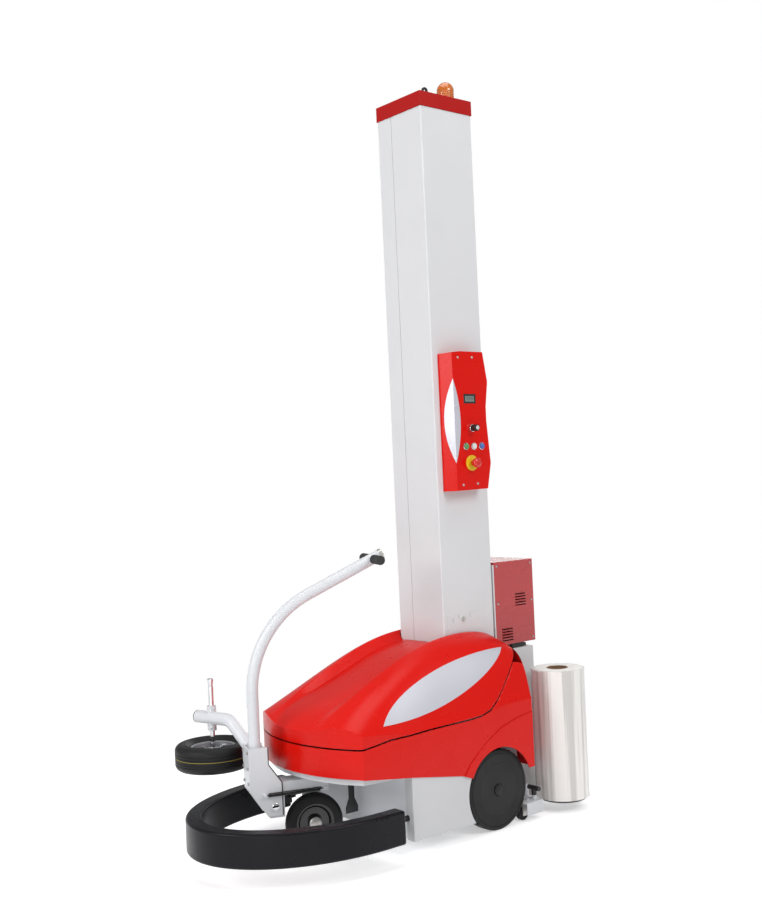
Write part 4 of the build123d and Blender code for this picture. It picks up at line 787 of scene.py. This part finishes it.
# ---- Chassis and skirts -------------------------------------------------
# A welded tub of 6 mm plate carries everything.  Thin pale skirts close its
# sides below the red cover, and a white pan closes the nose.
frame_grey = coated("frame_pale_enamel", (0.78, 0.80, 0.84), 0.45, 0.0012, 0.00012, scuff=0.15)
white_paint = coated("white_powder_coat", (0.68, 0.695, 0.725), 0.34, 0.0010, 0.00009, scuff=0.08)
eased("chassis_frame", frame_grey, 0.0010)
eased("skirt_panels", coated("skirt_grey_powder", (0.62, 0.63, 0.65), 0.42, 0.0009, 0.00012, scuff=0.12),
      0.0009)
eased("front_tray", white_paint, 0.0012)
eased("rear_caster_bracket", white_paint, 0.0010)
hanger_outline = ((0.190, 0.300), (0.214, 0.300), (0.214, 0.180), (0.228, 0.150),
                  (0.228, 0.128), (0.176, 0.128), (0.176, 0.150), (0.190, 0.180))
hanger = prism([(x, 0.110, z) for x, z in hanger_outline], (0, 0.006, 0))
rounded(hanger, hanger.edges[:], 0.0010, 2)
added(hanger, "tray_hanger", dark_steel, "front_tray")
battery_case = coated("battery_case", (0.03, 0.03, 0.034), 0.38, 0.0012, 0.00015)
eased("batteries", battery_case, 0.004)
cast_metal = coated("cast_gear_case", (0.36, 0.37, 0.38), 0.55, 0.0016, 0.0004, metal=0.7)
for node in ("drive_gearmotor", "lift_motor", "lift_pulley_low", "lift_pulley_high"):
    eased(node, cast_metal, 0.0015)
belt_rubber = coated("belt_rubber", (0.025, 0.025, 0.025), 0.6, 0.0008, 0.0001)
eased("lift_belt", belt_rubber, 0.0005)


# ---- Bumper -------------------------------------------------------------
# A bow of self-skinned black foam on two sliding steel carriers.  Touching
# anything pushes it back and stops the machine.
foam_skin = coated("foam_skin_black", (0.007, 0.007, 0.010), 0.30, 0.0016, 0.00016, shade=0.8, scuff=0.10,
                   shine=0.16)
eased("bumper_foam", foam_skin, 0.009, corner=30, steps=5)
eased("bumper_carriers", dark_steel, 0.0008)


# ---- Rear wheels --------------------------------------------------------
# Solid rubber tyres, notched round the tread's edge, on a flush black disc with
# a small domed cap over the axle.
tyre_rubber = coated("tyre_rubber", (0.008, 0.008, 0.009), 0.50, 0.0012, 0.0003, shade=0.75, scuff=0.04,
                     shine=0.3)
disc_black = coated("wheel_disc_black", (0.008, 0.007, 0.008), 0.46, 0.0020, 0.0002, shade=0.8, scuff=0.03,
                    shine=0.3)
hub_black = coated("hub_black_gloss", (0.009, 0.009, 0.010), 0.20, 0.004, 0.0002, coat=0.4)
for side, out in (("left", 1), ("right", -1)):
    low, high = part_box("rear_tyre_" + side)
    centre_at = (low + high) / 2
    half = (high.y - low.y) / 2
    radius = (high.z - low.z) / 2
    rim = 0.096
    place = facing(centre_at, (0, out, 0))
    tyre = bmesh.new()
    lathe(tyre, [(rim, -half), (radius - 0.006, -half), (radius, -half + 0.006), (radius, half - 0.006),
                 (radius - 0.003, half - 0.002), (radius - 0.010, half), (radius - 0.013, half),
                 (radius - 0.014, half - 0.0015), (radius - 0.016, half - 0.0015), (radius - 0.017, half),
                 (rim, half - 0.0005), (rim, -half)], place, 144)
    tread = [f for f in tyre.faces if abs((f.calc_center_median() - centre_at).y) < half * 0.5
             and (f.calc_center_median() - centre_at).length > radius * 0.98]
    notched = [f for f in tread
               if int(Vector((0, 0, 1)).angle(f.calc_center_median() - centre_at) / (tau / 72)
                      + 0.5) % 3 == 0]
    bmesh.ops.inset_individual(tyre, faces=notched, thickness=0.0012, depth=-0.0035)
    shown(tyre, "rear_tyre_" + side + "_piece", tyre_rubber, "rear_tyre_" + side)
    inner_low, inner_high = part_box("rear_hub_" + side)
    inner_end = -half - ((inner_high.y - inner_low.y) - 2 * half - 0.003)
    hub = bmesh.new()
    lathe(hub, [(0, inner_end), (0.0124, inner_end), (0.0124, -half - 0.010), (0.030, -half - 0.010),
                (0.030, -half + 0.008), (rim - 0.0003, -half + 0.008), (rim - 0.0003, half - 0.0006),
                (0.024, half - 0.0010), (0.0225, half - 0.0022), (0.0210, half - 0.0022),
                (0.0200, half + 0.0015), (0.014, half + 0.003), (0, half + 0.003)], place, 96)
    shown(hub, "rear_hub_" + side + "_piece", disc_black, "rear_hub_" + side)


# ---- Rear caster --------------------------------------------------------
# A small swivel caster in a zinc fork steadies the roll's side.  A black
# T-handled knob clamps its bracket.
eased("caster_fork", zinc, 0.0008)
eased("caster_wheel", tyre_rubber, 0.001)
eased("caster_clamp_knob", satin_black, 0.0025)


# ---- Steering head ------------------------------------------------------
# A white welded block turns on a kingpin under the nose.  It carries the front
# wheel, the tiller's pivot pin and the coil spring that lifts the tiller.
joints = {joint["name"]: joint for joint in frame["joints"]}
head_left = Vector(joints["tiller_tilt"]["axis"]).normalized()
head_fore = head_left.cross(Vector((0, 0, 1)))
steer_at = Vector((*joints["steer"]["pos_m"][:2], 0))
head = (Matrix.Translation(steer_at)
        @ Matrix((head_fore, head_left, Vector((0, 0, 1)))).transposed().to_4x4())
eased("steering_head", white_paint, 0.0015)
eased("tiller_bracket", white_paint, 0.0012)
head_half, bracket_sheet, pivot_x, pivot_z = 0.0395, 0.005, 0.150, 0.192
bracket_outer = head_half + 0.0005 + bracket_sheet
pivot_caps = bmesh.new()
for out in (1, -1):
    at = Vector((pivot_x, out * (bracket_outer + 0.0084), pivot_z))
    lathe(pivot_caps, [(0, 0), (0.0125, 0), (0.0125, 0.001), (0.0105, 0.0022), (0, 0.0022)], head
          @ facing(at, (0, out, 0)), 36)
added(pivot_caps, "pivot_pin_caps", chrome, "steering_head")
bracket_front = 0.2385
bracket_bolts = bmesh.new()
for out in (1, -1):
    for z in (0.278, 0.330, 0.385):
        hex_screw(bracket_bolts, head @ facing((bracket_front, out * 0.034, z), (1, 0, 0), 0.4), 0.0050)
added(bracket_bolts, "bracket_bolts", zinc, "tiller_bracket")
strip_outline = ((0.1240, 0.2735), (0.1700, 0.3395), (0.1700, 0.3990), (0.1665, 0.3990),
                 (0.1665, 0.3405), (0.1205, 0.2745), (0.1205, 0.1590), (0.1240, 0.1590))
strip = prism([(x, bracket_outer + 0.0002, z) for x, z in strip_outline], (0, -0.0060, 0))
strip.transform(head)
added(strip, "bracket_edge_strip", satin_black, "tiller_bracket")

spring_steel = coated("black_spring_steel", (0.025, 0.025, 0.026), 0.30, 0.001, 0.0001, metal=0.7)
coil = bmesh.new()
wire, coil_radius, spring_y, spring_z = 0.0018, 0.0070, head_half + 0.016, 0.236
section = bmesh.ops.create_circle(coil, segments=8, radius=wire, cap_ends=False,
                                  matrix=Matrix.Translation((0, coil_radius, 0))
                                  @ Matrix.Rotation(pi / 2, 4, "Y"))
turns, start_x, end_x = 42, -0.014, pivot_x + 0.024
ring_edges = [e for v in section["verts"] for e in v.link_edges]
bmesh.ops.rotate(coil, verts=section["verts"], cent=(0, coil_radius, 0),
                 matrix=Matrix.Rotation(pi / 2, 3, "Z"))
bmesh.ops.spin(coil, geom=section["verts"] + list(set(ring_edges)), cent=(0, 0, 0), axis=(1, 0, 0),
               dvec=((end_x - start_x) / (turns * 14), 0, 0), angle=tau * turns, steps=turns * 14,
               use_duplicate=False)
bmesh.ops.translate(coil, verts=coil.verts, vec=(start_x, spring_y, spring_z))
open_ends = [e for e in coil.edges if len(e.link_faces) < 2]
bmesh.ops.holes_fill(coil, edges=open_ends, sides=12)
bmesh.ops.recalc_face_normals(coil, faces=coil.faces)
for hook_from, hook_to in ((-0.0268, start_x + 0.001), (end_x - 0.001, pivot_x + 0.0325)):
    lathe(coil, [(0, 0), (0.0020, 0), (0.0020, hook_to - hook_from), (0, hook_to - hook_from)],
          facing((hook_from, spring_y, spring_z), (1, 0, 0)), 12)
coil.transform(head)
shown(coil, "tiller_spring_coil", spring_steel, "tiller_spring")


# ---- Front wheel --------------------------------------------------------
# A narrow solid tyre on a deep dished gloss black hub, with a domed zinc cap
# over the axle's end.
low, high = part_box("front_tyre")
front_at = (low + high) / 2
front_place = Matrix.Translation(front_at) @ head.to_3x3().to_4x4() @ Matrix.Rotation(-pi / 2, 4, "X")
half, radius, rim = 0.020, (high.z - low.z) / 2, 0.070
tyre = bmesh.new()
profile = [(rim, -half + 0.002), (rim + 0.004, -half), (radius - 0.014, -half)]
profile += arc(radius - 0.014, -half + 0.014, 0.014, range(-75, 1, 15))
profile += [(radius, -0.004), (radius - 0.0015, -0.0030), (radius - 0.0015, 0.0030), (radius, 0.004)]
profile += arc(radius - 0.014, half - 0.014, 0.014, range(0, 91, 15))
profile += [(rim + 0.004, half), (rim, half - 0.002), (rim, -half + 0.002)]
lathe(tyre, profile, front_place, 96)
shown(tyre, "front_tyre_piece", tyre_rubber, "front_tyre")
hub = bmesh.new()
bore = 0.01005
lathe(hub, [(bore, -half - 0.004), (0.024, -half - 0.004), (0.024, -0.008), (0.040, -0.005),
            (rim - 0.012, -0.005), (rim - 0.010, -half + 0.004), (rim - 0.004, -half + 0.0005),
            (rim - 0.0003, -half + 0.0005), (rim - 0.0003, half - 0.0005), (rim - 0.004, half - 0.0005),
            (rim - 0.010, half - 0.004), (rim - 0.016, 0.006), (0.034, 0.004), (0.026, 0.006),
            (0.0245, half + 0.001), (0.0230, half + 0.002), (bore, half + 0.002), (bore, -half - 0.004)],
      front_place, 80)
shown(hub, "front_hub_piece", hub_black, "front_hub")
cap = bmesh.new()
lathe(cap, [(0, half + 0.0100), (0.0090, half + 0.0094), (0.0165, half + 0.0078), (0.0215, half + 0.0052),
            (0.0230, half + 0.0030), (0.0228, half + 0.0021), (0.0108, half + 0.0021),
            (0.0108, half + 0.0070), (0, half + 0.0070)], front_place, 48)
added(cap, "front_wheel_cap", zinc, "front_hub")


# ---- Tiller -------------------------------------------------------------
# A white bent tube rises from the folded bracket and leans back over the hood
# to a cross bar with ribbed rubber grips and a thumb switch.
eased("tiller_tube", white_paint, 0.0008, corner=45)
eased("handle_bar", zinc, 0.0010, corner=45)
eased("tiller_button", chrome, 0.0008, corner=45)
grip_rubber = coated("grip_rubber", (0.022, 0.022, 0.023), 0.62, 0.0008, 0.0001)
bar_low, bar_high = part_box("handle_grips")
grip_mid = (bar_low + bar_high) / 2
grips = bmesh.new()
for out in (1, -1):
    start = grip_mid + head_left * (out * 0.025)
    long = 0.076
    profile = [(0.0112, 0), (0.0160, 0), (0.0170, 0.001), (0.0170, 0.004)]
    for rib in range(12):
        at = 0.006 + rib * 0.0055
        profile += [(0.0152, at), (0.0152, at + 0.0015), (0.0168, at + 0.0025), (0.0168, at + 0.0042)]
    profile += [(0.0170, long - 0.003), (0.0150, long), (0, long), (0, long - 0.0038),
                (0.0112, long - 0.0038), (0.0112, 0)]
    lathe(grips, profile, facing(start, head_left * out), 40)
shown(grips, "ribbed_grips", grip_rubber, "handle_grips")


# ---- Feeler wheel -------------------------------------------------------
# A bent side arm off the tiller holds a bright spindle with a flat-lying
# wheel that runs along the load: ribbed tyre, yellow line, spoked rim.
eased("feeler_arm", white_paint, 0.0010, corner=45)
eased("arm_end_cap", satin_black, 0.0012)
feeler_at = Vector(joints["feeler_spin"]["pos_m"])
low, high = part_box("feeler_spindle")
spindle_low, spindle_high = low.z - feeler_at.z, high.z - feeler_at.z
spindle = bmesh.new()
lathe(spindle, [(0, spindle_low), (0.015, spindle_low), (0.017, spindle_low + 0.002), (0.017, -0.0265),
                (0.010, -0.0265), (0.010, spindle_high - 0.030), (0.0085, spindle_high - 0.024),
                (0.0120, spindle_high - 0.001), (0.0112, spindle_high), (0, spindle_high)],
      Matrix.Translation(feeler_at), 48)
shown(spindle, "feeler_spindle_piece", chrome, "feeler_spindle")
arm_z = 0.468 - feeler_at.z
collars = bmesh.new()
for foot_z in (arm_z + 0.0235, arm_z - 0.0375):
    ring = bmesh.new()
    rod(ring, Matrix.Translation((0, 0, foot_z + 0.007)) @ Matrix.Rotation(0.3, 4, "Z"), 0.0185, 0.013, 6)
    rounded(ring, ring.edges[:], 0.0012, 2)
    ring.transform(Matrix.Translation(feeler_at))
    merged(collars, ring)
added(collars, "spindle_collars", chrome, "feeler_spindle")
low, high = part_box("feeler_tyre")
half, radius, rim = (high.z - low.z) / 2, (high.x - low.x) / 2, 0.084
round_edge = 0.022
tyre = bmesh.new()
profile = [(rim, -half + 0.012), (rim + 0.018, -half), (radius - round_edge, -half)]
profile += arc(radius - round_edge, -half + round_edge, round_edge, range(-78, -5, 12))
for rib in range(5):
    z = -0.019 + rib * 0.0095
    profile += [(radius, z - 0.0030), (radius - 0.0020, z - 0.0020), (radius - 0.0020, z + 0.0020),
                (radius, z + 0.0030)]
profile += arc(radius - round_edge, half - round_edge, round_edge, range(8, 91, 12))
profile += [(radius - 0.030, half), (radius - 0.032, half - 0.002), (radius - 0.036, half - 0.002),
            (radius - 0.038, half), (rim + 0.018, half), (rim, half - 0.012), (rim, -half + 0.012)]
lathe(tyre, profile, Matrix.Translation(feeler_at), 120)
shown(tyre, "feeler_tyre_piece", tyre_rubber, "feeler_tyre")
line_yellow = coated("tyre_line_yellow", (0.34, 0.28, 0.05), 0.55, 0.001, 0.0001, scuff=0.2)
line = bmesh.new()
lathe(line, [(radius - 0.0019, -0.0009), (radius - 0.0008, -0.0009), (radius - 0.0008, 0.0009),
             (radius - 0.0019, 0.0009), (radius - 0.0019, -0.0009)], Matrix.Translation(feeler_at), 120)
added(line, "feeler_tyre_line", line_yellow, "feeler_tyre")
spoke_alloy = coated("cast_rim_alloy", (0.55, 0.56, 0.58), 0.32, 0.0012, 0.0001, metal=0.9, shade=0.85)
wheel = bmesh.new()
lathe(wheel, [(rim - 0.009, -half + 0.016), (rim - 0.0003, -half + 0.0145), (rim - 0.0003, half - 0.0145),
              (rim - 0.002, half - 0.0135), (rim - 0.009, half - 0.016), (rim - 0.009, -half + 0.016)],
      Matrix.Translation(feeler_at), 96)
lathe(wheel, [(0.01005, -0.026), (0.0200, -0.026), (0.022, -0.024), (0.022, 0.022), (0.0185, 0.026),
              (0.01005, 0.026), (0.01005, -0.026)], Matrix.Translation(feeler_at), 48)
spokes = 12
for step in range(spokes):
    arm = bmesh.new()
    block(arm, Matrix.Translation((0.0480, 0, 0)), 0.058, 0.008, 0.026)
    bmesh.ops.scale(arm, verts=[v for v in arm.verts if v.co.x > 0.05], vec=(1, 0.65, 1.5))
    rounded(arm, arm.edges[:], 0.0025, 2)
    arm.transform(Matrix.Translation(feeler_at) @ Matrix.Rotation(tau * step / spokes, 4, "Z"))
    merged(wheel, arm)
shown(wheel, "feeler_spoked_rim", spoke_alloy, "feeler_rim")
